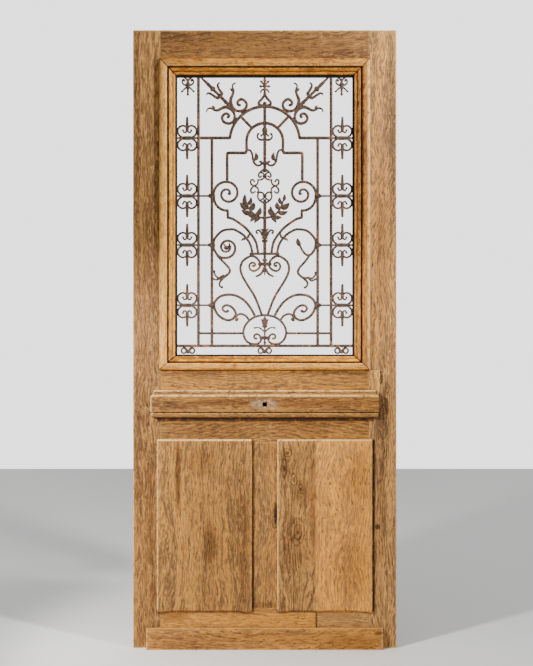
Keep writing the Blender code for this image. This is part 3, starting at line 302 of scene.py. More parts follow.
OAK_GRAIN = oak_group()
print(OAK_GRAIN.name, len(OAK_GRAIN.nodes), "nodes")

# %% [markdown]
# Old doors carry stains: hand grease, damp. The same oval also paints shade on the wood, such as the
# shadow of a moulding. A stain here is an oval patch with a wavering rim. A knot is an oval of rings
# round a dark heart. Both are groups, so that each board can have its own at its own place.

# %% Stains, painted shade and knots
def from_centre(tree, given):
    """How far a place lies from a centre, measured so that it is 1 at the half sizes."""
    offset = vectors(tree, "DIVIDE", vectors(tree, "SUBTRACT", given["Place"], given["Centre"]),
                     given["Half"])
    return put(tree, "VectorMath", {0: offset}, operation="LENGTH").outputs["Value"]


def stain_and_shade_group():
    """1 inside an oval with the given half sizes, falling to 0 over a soft, wavering rim."""
    tree, given, leave = new_group(
        "stain and shade", [("Place", "vector"), ("Centre", "vector"), ("Half", "vector"), ("Soft", "value"),
                  ("Waver", "value")], [("Mask", "value")])
    rim = centred(tree, speckle(tree, given["Place"], (34.0, 34.0, 13.0), 3.0, 0.6), given["Waver"])
    far = plus(tree, from_centre(tree, given), rim)
    faded = ramped(tree, far, less(tree, 1.0, given["Soft"]), plus(tree, 1.0, given["Soft"]))
    wired(tree, leave, {"Mask": less(tree, 1.0, faded)})
    return tree


def knot_group():
    """Heart is 1 in the dark middle; Lines are rings, a sine of the distance, that fade outwards."""
    tree, given, leave = new_group(
        "knot", [("Place", "vector"), ("Centre", "vector"), ("Half", "vector"), ("Rings", "value")],
        [("Heart", "value"), ("Lines", "value")])
    rough = centred(tree, speckle(tree, given["Place"], (60.0, 60.0, 40.0), 2.0), 0.5)
    far = plus(tree, from_centre(tree, given), rough)
    lines = ramped(tree, sums(tree, "SINE", times(tree, far, given["Rings"])), 0.1, 0.9)
    fade = less(tree, 1.0, ramped(tree, far, 0.5, 1.1))
    heart = less(tree, 1.0, ramped(tree, far, 0.12, 0.34))
    wired(tree, leave, {"Lines": times(tree, lines, fade), "Heart": heart})
    return tree


STAIN_AND_SHADE = stain_and_shade_group()
KNOT = knot_group()
print("groups:", STAIN_AND_SHADE.name, KNOT.name)

# %% [markdown]
# Handling polishes raised edges pale and packs dirt into the hollows, and the same marks also paint
# highlights on edges that catch the light and shade in creases, hollows and beside panels. The mesh
# itself says where they are: each piece stores one number for the pale edges and one for the dark
# hollows at every point. This group breaks them up with noise, so that the wear isn't an even line.

# %% Wear, dirt, painted highlights and painted shade
def wear_and_painted_light_group():
    """Mixes a pale tone in along the arrises, for wear and painted highlights, and a dark one into the
    hollows, for dirt and painted shade.
    """
    tree, given, leave = new_group(
        "wear and dirt", [("Color", "colour"), ("Place", "vector"), ("Wear and highlight", "value"), ("Dirt and shade", "value"),
                          ("Pale", "colour"), ("Grime and shade", "colour")],
        [("Color", "colour"), ("Roughness", "value")])
    broken = speckle(tree, given["Place"], (90.0, 90.0, 60.0), 3.0, 0.65)
    edge = times(tree, given["Wear and highlight"], ramped(tree, broken, 0.30, 0.54))
    cloudy = speckle(tree, given["Place"], (45.0, 45.0, 25.0), 3.0, 0.6)
    dirt = times(tree, given["Dirt and shade"], ramped(tree, cloudy, 0.16, 0.52))
    colour = mixed(tree, dirt, given["Color"], given["Grime and shade"])
    colour = mixed(tree, edge, colour, given["Pale"])
    gloss = less(tree, plus(tree, 0.56, times(tree, dirt, 0.25)), times(tree, edge, 0.12))
    gloss = plus(tree, gloss, centred(tree, broken, 0.3))
    wired(tree, leave, {"Color": colour, "Roughness": gloss})
    return tree


WEAR_AND_PAINTED_LIGHT = wear_and_painted_light_group()
print("groups:", WEAR_AND_PAINTED_LIGHT.name)

# %% [markdown]
# Each board gets its own material from the same groups: its own tones, its own cut of the log
# (a shift of the coordinates), and its own stains, patches of painted shade and knots. Its tones are
# written as hex digits, as they look on a screen, and made linear for the shader.

# %% One oak material for each board
# the dark tone is mixed in for dirt and for painted shade, the pale one for wear and for painted highlights
GRIME_AND_SHADE = (0.038, 0.014, 0.005, 1)
PALE = (0.76, 0.47, 0.17, 1)
KNOT_RING = (0.085, 0.04, 0.016, 1)
KNOT_HEART = (0.036, 0.017, 0.008, 1)
KNOT_DEPTH = 0.2
STAIN_DEPTH = 0.5


def tone(hex_colour):
    """A colour written as six hex digits, made linear."""
    parts = [int(hex_colour[i:i + 2], 16) / 255 for i in (0, 2, 4)]
    return tuple(((c + 0.055) / 1.055) ** 2.4 if c > 0.04045 else c / 12.92 for c in parts) + (1,)


def oak_material(name, grain, tones, cut, figure=0.5, streaks=1.2, contrast=1.5, stains_and_shade=(), knots=()):
    """Grain, then knots, then stains, then wear: the order in which the board received them.

    A stain, or a patch of painted shade, is (x, z, half width, half height, softness of the rim, waver of
    the rim, strength, tone), and a knot is (x, z, half width, half height, rings, darkness of its heart).
    Painted shade and painted highlights come in with the stains and the wear, though the board never
    received them.
    """
    material, tree, shader = new_material(name)
    where = put(tree, "TexCoord").outputs["Object"]
    turn = (0, math.radians(90), 0) if grain == "x" else (0, 0, 0)
    log = put(tree, "Mapping", {"Vector": where, "Location": (cut * 1.7, cut * 0.6, cut * 2.3),
                                "Rotation": turn}).outputs[0]
    light, middle, dark = [tone(t) for t in tones]
    grains = placed(tree, OAK_GRAIN, {"Place": log, "Light": light, "Middle": middle, "Dark": dark,
                                      "Figure": figure, "Streaks": streaks, "Contrast": contrast})
    colour = grains["Color"]
    for x, z, half_x, half_z, rings, darkness in knots:
        knot = placed(tree, KNOT, {"Place": where, "Centre": (x, FACE, z),
                                   "Half": (half_x, KNOT_DEPTH, half_z), "Rings": rings})
        colour = mixed(tree, times(tree, knot["Lines"], 0.8), colour, KNOT_RING)
        colour = mixed(tree, times(tree, knot["Heart"], darkness), colour, KNOT_HEART)
    for x, z, half_x, half_z, soft, rim, strength, stain_and_shade_tone in stains_and_shade:
        mask = placed(tree, STAIN_AND_SHADE, {"Place": where, "Centre": (x, FACE, z),
                                    "Half": (half_x, STAIN_DEPTH, half_z), "Soft": soft, "Waver": rim})
        colour = mixed(tree, times(tree, mask["Mask"], strength), colour, tone(stain_and_shade_tone), "MULTIPLY")
    # the mesh's two numbers paint pale worn edges and dark dirt, and also painted highlights on edges that
    # catch the light and painted shade in creases, hollows and beside panels
    edge = put(tree, "Attribute", attribute_name="edge").outputs["Fac"]
    dirt = put(tree, "Attribute", attribute_name="dirt").outputs["Fac"]
    worn = placed(tree, WEAR_AND_PAINTED_LIGHT, {"Color": colour, "Place": where, "Wear and highlight": edge, "Dirt and shade": dirt,
                               "Pale": PALE, "Grime and shade": GRIME_AND_SHADE})
    bump = put(tree, "Bump", {"Height": grains["Height"], "Strength": 0.8, "Distance": 0.0016})
    wired(tree, shader, {"Base Color": worn["Color"], "Roughness": worn["Roughness"],
                         "Normal": bump.outputs[0], "Specular IOR Level": 0.18})
    return material


print("oak materials are built board by board")

# %% [markdown]
# A worn board isn't a box. Its arrises are rounded by a radius that changes along the edge, its
# faces are slightly uneven from the plane, and edges wander a little. So each board is two
# height fields over one grid, front and back, with walls round the rim and round any hole. The
# grid lines crowd together where an arris turns.

# %% Surfaces: height fields made into closed bodies
WAVES = 9
CLOSEST_LINES = 5e-5


def waver(a, b, seed, size):
    """A slow unevenness of about -1 to 1: a sum of sine waves of random length and heading."""
    draw = np.random.default_rng(seed)
    heading, phase = draw.uniform(0, 2 * math.pi, (2, WAVES, 1, 1))
    length = size * draw.uniform(0.5, 2.0, (WAVES, 1, 1))
    waves = np.sin((a * np.cos(heading) + b * np.sin(heading)) * 2 * math.pi / length + phase)
    return waves.sum(0) / math.sqrt(2 * WAVES)


def along(values, seed, size):
    """The same unevenness on a single coordinate."""
    return waver(values, values * 0, seed, size)


def fall(distance, radius):
    """The drop of a rounded arris at a distance from the edge: a quarter circle."""
    short = np.clip(radius - distance, 0, None)
    return radius - np.sqrt(np.maximum(radius ** 2 - short ** 2, 0))


def grid_lines(a, b, step, turn, fine):
    """Positions from a to b, even in the middle and crowded near both ends and in fine zones."""
    near = turn * np.array([0, 0.03, 0.11, 0.24, 0.42, 0.68, 1.0])
    even = np.linspace(a + turn, b - turn, max(2, round((b - a - 2 * turn) / step) + 1))
    zones = [np.arange(low, high, pitch) for low, high, pitch in fine]
    lines = np.unique(np.round(np.concatenate([a + near, even, b - near] + zones), 6))
    return lines[np.concatenate([[True], np.diff(lines) > CLOSEST_LINES])]


def body_of(X, Z, front, back, keep=None):
    """Front and back quads over the kept cells of a grid, and a wall along every open side."""
    rows, columns = X.shape
    if keep is None:
        keep = np.ones((rows - 1, columns - 1), bool)
    points = np.concatenate([np.stack([X, y, Z], -1).reshape(-1, 3) for y in (front, back)])
    index = np.arange(rows * columns).reshape(rows, columns)
    behind = rows * columns
    i, j = np.nonzero(keep)
    a, b, c, d = index[i, j], index[i + 1, j], index[i + 1, j + 1], index[i, j + 1]
    faces = [np.stack([a, b, c, d], 1), np.stack([a, d, c, b], 1) + behind]
    ring = np.pad(keep, 1)
    inside = ring[1:-1, 1:-1]
    sides = ((ring[:-2, 1:-1], (0, 0), (0, 1)), (ring[2:, 1:-1], (1, 1), (1, 0)),
             (ring[1:-1, :-2], (1, 0), (0, 0)), (ring[1:-1, 2:], (0, 1), (1, 1)))
    for neighbour, start, end in sides:
        i, j = np.nonzero(inside & ~neighbour)
        p, q = index[i + start[0], j + start[1]], index[i + end[0], j + end[1]]
        faces.append(np.stack([p, q, q + behind, p + behind], 1))
    return points, faces


def volume_of(points, faces):
    """The signed volume inside closed faces, each fanned into triangles: positive if they face out."""
    total = 0.0
    for polygons in faces:
        first = points[polygons[:, 0]]
        for k in range(1, polygons.shape[1] - 1):
            second, third = points[polygons[:, k]], points[polygons[:, k + 1]]
            total += np.einsum("ij,ij->", first, np.cross(second, third))
    return total / 6


def make_piece(name, nodes, slot, material, bodies, smooth_sides=None, **numbers):
    """Closed bodies, each (points, list of polygon arrays), joined into one finished object."""
    points, polygons, smooth, start = [], [], [], 0
    for part, faces in bodies:
        if volume_of(part, faces) < 0:
            faces = [polygon[:, ::-1] for polygon in faces]
        points.append(part)
        for group, polygon in enumerate(faces):
            polygons.append(polygon + start)
            smooth.append(np.full(len(polygon), smooth_sides is None or group < smooth_sides))
        start += len(part)
    points = np.concatenate(points)
    used = np.zeros(len(points), bool)
    for polygon in polygons:
        used[polygon.ravel()] = True
    renumber = np.cumsum(used) - 1
    mesh = bpy.data.meshes.new(name)
    mesh.vertices.add(int(used.sum()))
    mesh.vertices.foreach_set("co", points[used].ravel())
    corners = np.concatenate([renumber[polygon].ravel() for polygon in polygons])
    sizes = np.concatenate([np.full(len(polygon), polygon.shape[1]) for polygon in polygons])
    mesh.loops.add(len(corners))
    mesh.loops.foreach_set("vertex_index", corners)
    mesh.polygons.add(len(sizes))
    mesh.polygons.foreach_set("loop_start", np.concatenate([[0], np.cumsum(sizes)[:-1]]))
    mesh.polygons.foreach_set("loop_total", sizes)
    mesh.polygons.foreach_set("use_smooth", np.concatenate(smooth))
    mesh.update(calc_edges=True)
    for label, values in numbers.items():
        attribute = mesh.attributes.new(label, "FLOAT", "POINT")
        attribute.data.foreach_set("value", np.clip(values, 0, 1)[used].astype(np.float32))
    mesh.materials.append(material)
    piece = bpy.data.objects.new(name, mesh)
    bpy.context.scene.collection.objects.link(piece)
    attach(piece, "root")
    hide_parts(*nodes)
    print(name, int((sizes - 2).sum()), "triangles")
    return piece


print("surface helpers ready")

# %% [markdown]
# Boards are most of this door. A board's outline may lean in a little where hands and weather
# wore it, its four arrises have their own radii, and any relief, such as a broken hollow, is one
# more height added to the front.

# %% Boards
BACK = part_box("stile_left")[1].y
GAP = 0.0003
# radii of the arrises: where two boards meet, where a board was sawn across, and where hands wear it
JOINT = 0.0009
SAWN = 0.0003
WORN = 0.003


def near_line(values, line, width):
    """1 on a line, fading to 0 over a width."""
    return np.exp(-((values - line) / width) ** 2)


def board(xs, zs, ys=(FACE, BACK), arris=(0.0025, 0.0025, 0.0025, 0.0025), seed=1, pitch=(0.0026, 0.006),
          uneven=0.00028, lean=None, relief=None, fine=((), ())):
    """A plank as two height fields: quarter-circle arrises whose radius wavers, on uneven faces.

    arris gives the radii at the left, right, foot and head. lean moves X, relief sinks the front.
    """
    turn = max(arris) * 1.6
    x = grid_lines(*xs, pitch[0], turn, fine[0])
    z = grid_lines(*zs, pitch[1], turn, fine[1])
    X, Z = np.meshgrid(x, z, indexing="ij")
    near = [X - xs[0], xs[1] - X, Z - zs[0], zs[1] - Z]
    warped = 1 + waver(X * 4, Z, seed, 0.30) * 0.6 + waver(X, Z, seed + 1, 0.06) * 0.3
    front = ys[0] + uneven * np.maximum(warped, 0)
    back = ys[1] - uneven * np.maximum(1 + waver(X * 4, Z, seed + 2, 0.30) * 0.6, 0)
    # pale along each arris: wear, and a painted highlight where the arris catches the light
    edge = np.zeros_like(X)
    for side, (distance, radius) in enumerate(zip(near, arris)):
        worn = radius * (1 + 0.45 * along(Z if side < 2 else X, seed + 3 + side, 0.09))
        front = front + fall(distance, worn)
        back = back - fall(distance, worn)
        edge = np.maximum(edge, near_line(distance, 0.0, 1.1 * radius) * min(1.0, radius / 0.002))
    if relief is not None:
        front = front + relief(X, Z)
    if lean is not None:
        X = X + lean(X, Z)
    return body_of(X, Z, front, back), edge


def both_faces(values):
    """A number for each point of a board's front grid, and 0 for all points of its back."""
    return np.concatenate([values.ravel(), np.zeros(values.size)])


def plank(node, material, xs, zs, slot="oak", dirt=None, wear=None, **choices):
    """A board made into a finished piece that stands for one solid."""
    body, edge = board(xs, zs, **choices)
    X, Z = body_grid(body, edge)
    soil_and_shade = np.zeros_like(edge) if dirt is None else dirt(X, Z)
    if wear is not None:
        edge = np.maximum(edge, wear(X, Z))
    return make_piece(node + "_oak", [node], slot, material, [body],
                      edge=both_faces(edge), dirt=both_faces(soil_and_shade))


def body_grid(body, like):
    """The X and Z of a board's front points, as grids."""
    front = body[0][:like.size]
    return front[:, 0].reshape(like.shape), front[:, 2].reshape(like.shape)


print("board helpers ready")

# %% [markdown]
# The leaf's frame: two stiles run the full height, and rails are tenoned between them. The
# hanging stile has a top corner rounded by wear, and it has greyed along its lower half.

# %% Hanging stile
INNER_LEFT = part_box("stile_left")[1].x
INNER_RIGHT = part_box("stile_right")[0].x
OUTER_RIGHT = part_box("stile_right")[1].x
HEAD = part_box("stile_left")[1].z
LIGHT_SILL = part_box("rail_lock")[1].z
LIGHT_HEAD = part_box("rail_top")[0].z
LOCK_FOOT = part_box("rail_lock")[0].z
BOTTOM_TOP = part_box("rail_bottom")[1].z
# SHADOW is a tone of painted shade: a stain in it is a painted shadow on the wood, not a mark on it
SHADOW = "7a5a38"
GREY = "a79a88"


def worn_outline(left, right, amount, seed, corner=0.0):
    """Leans the outer edges inwards by a wavering amount; corner rounds the left end of the head."""
    def lean(X, Z):
        share = (X - left) / (right - left)
        shift = amount * np.maximum(1 + along(Z, seed, 0.25), 0) * (1 - share)
        shift = shift - amount * np.maximum(1 + along(Z, seed + 1, 0.25), 0) * share
        if corner:
            shift = shift + fall(HEAD - Z, corner) * (1 - share) ** 3
        return shift
    return lean


stile_oak = oak_material(
    "oak_hanging_stile", "z", ("b9874a", "8a6338", "6a4a29"), 1.0, figure=0.5, streaks=1.7,
    stains_and_shade=((0.02, 0.1, 0.05, 0.5, 0.6, 0.8, 0.4, GREY),
            (0.04, -0.70, 0.07, 0.55, 0.6, 0.8, 0.55, "b59a76"),
            (0.012, 0.75, 0.012, 0.5, 0.5, 0.9, 0.35, SHADOW)))
plank("stile_left", stile_oak, (0.0, INNER_LEFT), (FLOOR_Z, HEAD),
      arris=(0.0026, 0.0008, WORN, WORN), seed=11, lean=worn_outline(0.0, INNER_LEFT, 0.0004, 15, 0.0045))

# %% [markdown]
# The lock stile has had a hard life: a patch was let in beside the lock rail, the wood past the
# patch has broken out, and a knot bends the grain there. The pocket and the hollow are relief on
# a grid that is fine enough to hold a torn edge.

# %% Lock stile with its pocket and its broken hollow
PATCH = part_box("stile_patch")
ROUND_PATCH = 0.0006
POCKET_DEPTH = 0.0075
HOLLOW_WIDTH = 0.013
HOLLOW_DEPTH = 0.0034
HOLLOW_TOP = PATCH[1].z - 0.004
HOLLOW_FOOT = HOLLOW_TOP - 0.049


def torn_edge(Z):
    """The patch's right edge: a broken line through a few heights, with splinters on it."""
    share = (Z - PATCH[0].z) / (PATCH[1].z - PATCH[0].z)
    bite = np.interp(share, (0.0, 0.16, 0.40, 0.62, 0.80, 1.0), (3.0, 1.2, 0.6, 1.5, 0.0, 1.0))
    splinters = 0.0005 * along(Z, 5, 0.004) + 0.0004 * along(Z, 6, 0.010)
    return PATCH[1].x - 0.0028 * bite - 1.5 * np.abs(splinters)


def lock_stile_relief(X, Z):
    """The pocket is a step down to the patch's seat; the hollow is a rough bowl past it."""
    in_pocket = X < torn_edge(Z) + ROUND_PATCH
    in_pocket = in_pocket & (Z > PATCH[0].z - ROUND_PATCH) & (Z < PATCH[1].z + ROUND_PATCH)
    rise = (Z - (HOLLOW_TOP + HOLLOW_FOOT) / 2) / (HOLLOW_TOP - HOLLOW_FOOT) * 2
    oval = np.sqrt(np.clip(1.05 - rise ** 4, 0, None))
    reach = HOLLOW_WIDTH * (0.92 + 0.12 * along(Z, 8, 0.012)) * oval
    inside = np.clip((reach - (X - PATCH[1].x + 0.002)) / 0.0016, 0, 1) * (X > torn_edge(Z) - 0.001)
    inside = inside * np.clip((1.02 - np.abs(rise)) / 0.08, 0, 1)
    bowl = HOLLOW_DEPTH + 0.0007 * waver(X * 3, Z * 0.8, 9, 0.006)
    return np.where(in_pocket, POCKET_DEPTH, inside * bowl)


def lock_stile_dirt(X, Z):
    """The hollow is darkened, and a painted shadow lies on the stile just past the right panel's edge."""
    hollow = np.clip(lock_stile_relief(X, Z) / 0.003, 0, 1)
    by_panel = (Z < LOCK_FOOT + 0.01) * (Z > BOTTOM_TOP - 0.01)
    # painted shadow: a dark band on the stile just right of the right panel's edge, along the panel's height
    return np.maximum(hollow * 0.75, 1.1 * near_line(X, INNER_RIGHT + 0.0145, 0.006) * by_panel)


lock_stile_oak = oak_material(
    "oak_lock_stile", "z", ("bf8848", "8e663d", "6c4f32"), 2.0, figure=0.8, streaks=1.6,
    stains_and_shade=((0.905, 0.30, 0.020, 0.32, 0.5, 0.8, 0.38, "8a6a4a"),
            (0.916, -0.262, 0.022, 0.080, 0.5, 0.9, 0.3, "8a745e"),
            (0.900, -0.36, 0.012, 0.12, 0.6, 0.9, 0.3, GREY),
            (0.905, -0.62, 0.012, 0.20, 0.5, 0.9, 0.35, "8d7a66"),
            (0.945, 0.75, 0.014, 0.3, 0.5, 0.8, 0.3, SHADOW),
            (0.891, -0.684, 0.009, 0.009, 0.4, 1.1, 0.8, "33241a")),
    knots=((0.913, -0.300, 0.027, 0.100, 23.0, 0.3), (0.925, -0.178, 0.016, 0.028, 14.0, 0.25),
           (0.915, -0.405, 0.014, 0.05, 13.0, 0.3)))
plank("stile_right", lock_stile_oak, (INNER_RIGHT, OUTER_RIGHT), (FLOOR_Z, HEAD),
      arris=(0.0008, 0.0026, WORN, WORN), seed=21, relief=lock_stile_relief, dirt=lock_stile_dirt,
      lean=worn_outline(INNER_RIGHT, OUTER_RIGHT, 0.0003, 25),
      fine=(((0.889, 0.918, 0.0006),), ((PATCH[0].z - 0.004, PATCH[1].z + 0.004, 0.0011),)))

# %% [markdown]
# The patch was cut square on three sides, and its fourth edge has torn away, so its surface grid
# is warped to end on the same torn line as the pocket. Newer wood, fresher colour.

# %% The let-in patch
patch_oak = oak_material("oak_patch", "z", ("e8a74f", "996e3f", "755332"), 3.0, figure=0.3, contrast=1.0)


def warp_to_torn_edge(X, Z):
    """Stretches the grid sideways so that its right side lies on the torn line."""
    share = (X - PATCH[0].x) / (PATCH[1].x - PATCH[0].x)
    return (torn_edge(Z) - PATCH[1].x) * share


def torn_wear(X, Z):
    """Fresh, pale wood along the torn side and the head."""
    return np.clip(1.1 - np.minimum(torn_edge(Z) - X, (PATCH[1].z - Z) * 1.6) / 0.0045, 0, 1)


plank("stile_patch", patch_oak, (PATCH[0].x, PATCH[1].x), (PATCH[0].z, PATCH[1].z), slot="patch_oak",
      ys=(FACE + 0.0006, FACE + POCKET_DEPTH - GAP),
      arris=(JOINT, 0.0007, 0.0007, 0.0007), seed=31,
      pitch=(0.0016, 0.0012), lean=warp_to_torn_edge, wear=torn_wear, uneven=0.0002)

# %% [markdown]
# Rails run sideways, so their material turns the grain. Each is tenoned into the stiles: the
# tenons are hidden, and only the length between the shoulders shows. The lock rail has the square
# blind hole for the latch spindle: a deep step in its front, on grid lines set close to its sides,
# and its inside is painted dark as shade.

# %% Rails
SHOULDERS = (INNER_LEFT + GAP, INNER_RIGHT - GAP)
HOLE_X = 0.48
HOLE_Z = FLOOR_Z + 0.889
HOLE_HALF = 0.008
HOLE = (HOLE_X - HOLE_HALF, HOLE_X + HOLE_HALF, HOLE_Z - HOLE_HALF, HOLE_Z + HOLE_HALF)
HOLE_WEB = 0.009
HOLE_WALL = 0.0002
HOLE_LINES = [[(side - HOLE_WALL, side + HOLE_WALL * 1.5, HOLE_WALL) for side in sides]
              for sides in (HOLE[:2], HOLE[2:])]


def in_hole(X, Z):
    """1 inside the square hole and 0 outside it."""
    return ((X > HOLE[0]) & (X < HOLE[1]) & (Z > HOLE[2]) & (Z < HOLE[3])) * 1.0


def blind_hole(X, Z):
    """The depth of the hole from the rail's face to the wood left behind it."""
    return in_hole(X, Z) * (BACK - HOLE_WEB - FACE)


RAIL_PITCH = (0.006, 0.0026)
top_oak = oak_material(
    "oak_top_rail", "x", ("9b6832", "7a542d", "583b20"), 4.0, figure=0.3, streaks=1.4,
    stains_and_shade=((0.32, 1.09, 0.25, 0.03, 0.6, 0.8, 0.3, GREY),
            (0.65, 1.05, 0.2, 0.04, 0.6, 0.9, 0.3, SHADOW)))
plank("rail_top", top_oak, SHOULDERS, (LIGHT_HEAD, HEAD),
      arris=(JOINT, JOINT, JOINT, WORN), seed=41, pitch=RAIL_PITCH)

# on the lock rail, the SHADOW stains paint shade under the glazing moulding and under the waist moulding
lock_oak = oak_material(
    "oak_lock_rail", "x", ("a8712d", "885b2a", "624425"), 5.0, figure=0.7, streaks=1.3,
    stains_and_shade=((0.30, -0.335, 0.16, 0.028, 0.6, 0.9, 0.5, "8f795e"),
            (0.20, -0.13, 0.1, 0.02, 0.6, 0.8, 0.3, SHADOW),
            (0.62, -0.33, 0.10, 0.03, 0.6, 0.9, 0.35, SHADOW)))
# the inside of the blind hole is painted dark, as shade
plank("rail_lock", lock_oak, SHOULDERS, (LOCK_FOOT, LIGHT_SILL),
      arris=(JOINT,) * 4, seed=51, pitch=RAIL_PITCH, relief=blind_hole, dirt=in_hole, fine=HOLE_LINES)

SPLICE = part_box("rail_bottom")[1].x


def open_joint(X, Z):
    """The end of the rail leans back from the splice, so the joint gapes in its lower half."""
    share = np.clip((X - SPLICE + 0.03) / 0.03, 0, 1)
    return -0.0011 * share * np.clip((BOTTOM_TOP - 0.004 - Z) / 0.01, 0, 1)


def joint_dirt(X, Z):
    """Dirt that has filled the open splice joint."""
    return near_line(X, SPLICE, 0.0032)


foot_oak = oak_material(
    "oak_bottom_rail", "x", ("c7852f", "a87334", "8c6030"), 6.0, figure=0.9, streaks=1.1,
    stains_and_shade=((0.15, -1.0, 0.05, 0.03, 0.5, 0.8, 0.4, SHADOW),
            (0.42, -0.99, 0.12, 0.014, 0.5, 0.8, 0.3, SHADOW)),
    knots=((0.602, -1.012, 0.006, 0.006, 14.0, 0.88),))
plank("rail_bottom", foot_oak, (SHOULDERS[0], SPLICE - GAP),
      (FLOOR_Z, BOTTOM_TOP), arris=(JOINT, SAWN, WORN, JOINT), seed=61, pitch=RAIL_PITCH,
      lean=open_joint, dirt=joint_dirt)
splice_oak = oak_material("oak_bottom_splice", "x", ("c18943", "a1743f", "8f663a"), 7.0, figure=0.7,
                          streaks=1.2)
plank("rail_bottom_repair", splice_oak, (SPLICE + GAP, SHOULDERS[1]),
      (FLOOR_Z, BOTTOM_TOP), arris=(SAWN, JOINT, WORN, JOINT), seed=71, pitch=RAIL_PITCH, dirt=joint_dirt)

# %% [markdown]
# Between the two panels stands the muntin. A dark bruise marks its right edge half way up, and
# the grain swirls under it. A painted shadow lies on it beside the left panel's edge.

# %% Muntin
MUNTIN = (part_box("muntin")[0].x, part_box("muntin")[1].x)


def painted_panel_shadow(X, Z):
    """A painted shadow on the muntin, just past the left panel's edge."""
    return 0.9 * near_line(X, MUNTIN[0] + 0.0145, 0.004)


muntin_oak = oak_material(
    "oak_muntin", "z", ("b17934", "8f6232", "684c2e"), 8.0, figure=0.8, streaks=1.3,
    stains_and_shade=((0.521, -0.635, 0.008, 0.036, 0.4, 0.9, 0.85, "38261a"),
            (0.47, -0.97, 0.06, 0.014, 0.5, 0.8, 0.4, SHADOW),
            (0.48, -0.42, 0.05, 0.05, 0.6, 0.9, 0.3, GREY)),
    knots=((0.517, -0.665, 0.022, 0.05, 17.0, 0.5),))
plank("muntin", muntin_oak, MUNTIN, (BOTTOM_TOP + GAP, LOCK_FOOT - GAP),
      arris=(JOINT,) * 4, seed=81, dirt=painted_panel_shadow)

# %% [markdown]
# The panels are raised: each laps over its frame and stands proud of it, with a body behind that
# fills the opening. Their edges were eased with a plane, so the arris is wide and wavers. The
# left panel is one board. The right one is glued from two, with knots in the inner board. On the
# front, the top bevel is painted pale as a highlight, the foot bevel is painted dark as shade, and a
# side that laps over the frame on the right is painted dark as shade, with no pale wear.

# %% Panels
LAP = 0.012
PROUD = 0.012
PANEL_FACE = FACE - PROUD
PANEL_BACK = BACK - 0.008
EASED = 0.0034
CUPPING = 0.0006
TOP_BEVEL, TOP_SLOPE = 0.0065, 0.62
FOOT_BEVEL, FOOT_SLOPE = 0.0095, 0.85


def panel(node, material, seed, sides):
    """A lapping front and a body behind it, as two closed bodies of one piece.

    sides says of the left and the right whether that side laps over the frame.
    """
    low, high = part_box(node)
    zs = (BOTTOM_TOP - LAP, LOCK_FOOT + LAP)
    arris = [EASED if lapped else 0.0005 for lapped in sides] + [EASED, EASED]

    def eased(X, Z):
        """Slight cupping; the top falls back over a bevel, and the foot over a wider one that dies
        out towards the lapped corners. A bevel's fall is its slope times the reach past a point."""
        cupped = CUPPING * (1 + waver(X * 2, Z, seed + 7, 0.2))
        top = np.clip(TOP_BEVEL * (1 + 0.25 * along(X, seed + 8, 0.1)) - (zs[1] - Z), 0, None) * TOP_SLOPE
        corner = np.minimum(X - low.x if sides[0] else 1.0, high.x - X if sides[1] else 1.0)
        reach = FOOT_BEVEL * np.clip((corner - 0.012) / 0.045, 0, 1)
        reach = reach * (1 + 0.2 * along(X, seed + 9, 0.12))
        foot = np.clip(reach - (Z - zs[0]), 0, None) * FOOT_SLOPE
        return cupped + top + foot

    fine = ((), ((zs[0], zs[0] + 0.012, 0.001), (zs[1] - 0.010, zs[1], 0.001)))
    front, edge = board((low.x, high.x), zs, (PANEL_FACE, FACE - GAP), arris, seed, (0.003, 0.006),
                        relief=eased, fine=fine)
    inset = [low.x + (LAP + GAP if sides[0] else 0), high.x - (LAP + GAP if sides[1] else 0)]
    behind, hidden = board(inset, (BOTTOM_TOP + GAP, LOCK_FOOT - GAP), (FACE - 0.004, PANEL_BACK),
                           (0.001,) * 4, seed + 1, pitch=(0.012, 0.024))
    X, Z = body_grid(front, edge)
    # pale edges are wear and painted highlight: the whole top bevel is painted pale as a highlight, and the
    # foot's edge is left without it
    worn = np.maximum(edge, np.clip((Z - zs[1] + TOP_BEVEL) / 0.002, 0, 1)) * (Z > zs[0] + 0.012)
    # painted shade along a right side that laps over the frame: its pale wear is taken off and it is
    # darkened
    shaded = np.clip(1.2 - (high.x - X) / 0.004, 0, 1) * sides[1]
    worn = worn * (1 - shaded)
    # the foot bevel is darkened as painted shade
    soil_and_shade = np.maximum(0.45 * np.clip((zs[0] + FOOT_BEVEL * 0.8 - Z) / 0.002, 0, 1), 0.8 * shaded)
    worn, soil_and_shade = (np.concatenate([both_faces(part), both_faces(hidden * 0)]) for part in (worn, soil_and_shade))
    return make_piece(node + "_oak", [node], "oak", material, [front, behind], edge=worn, dirt=soil_and_shade)


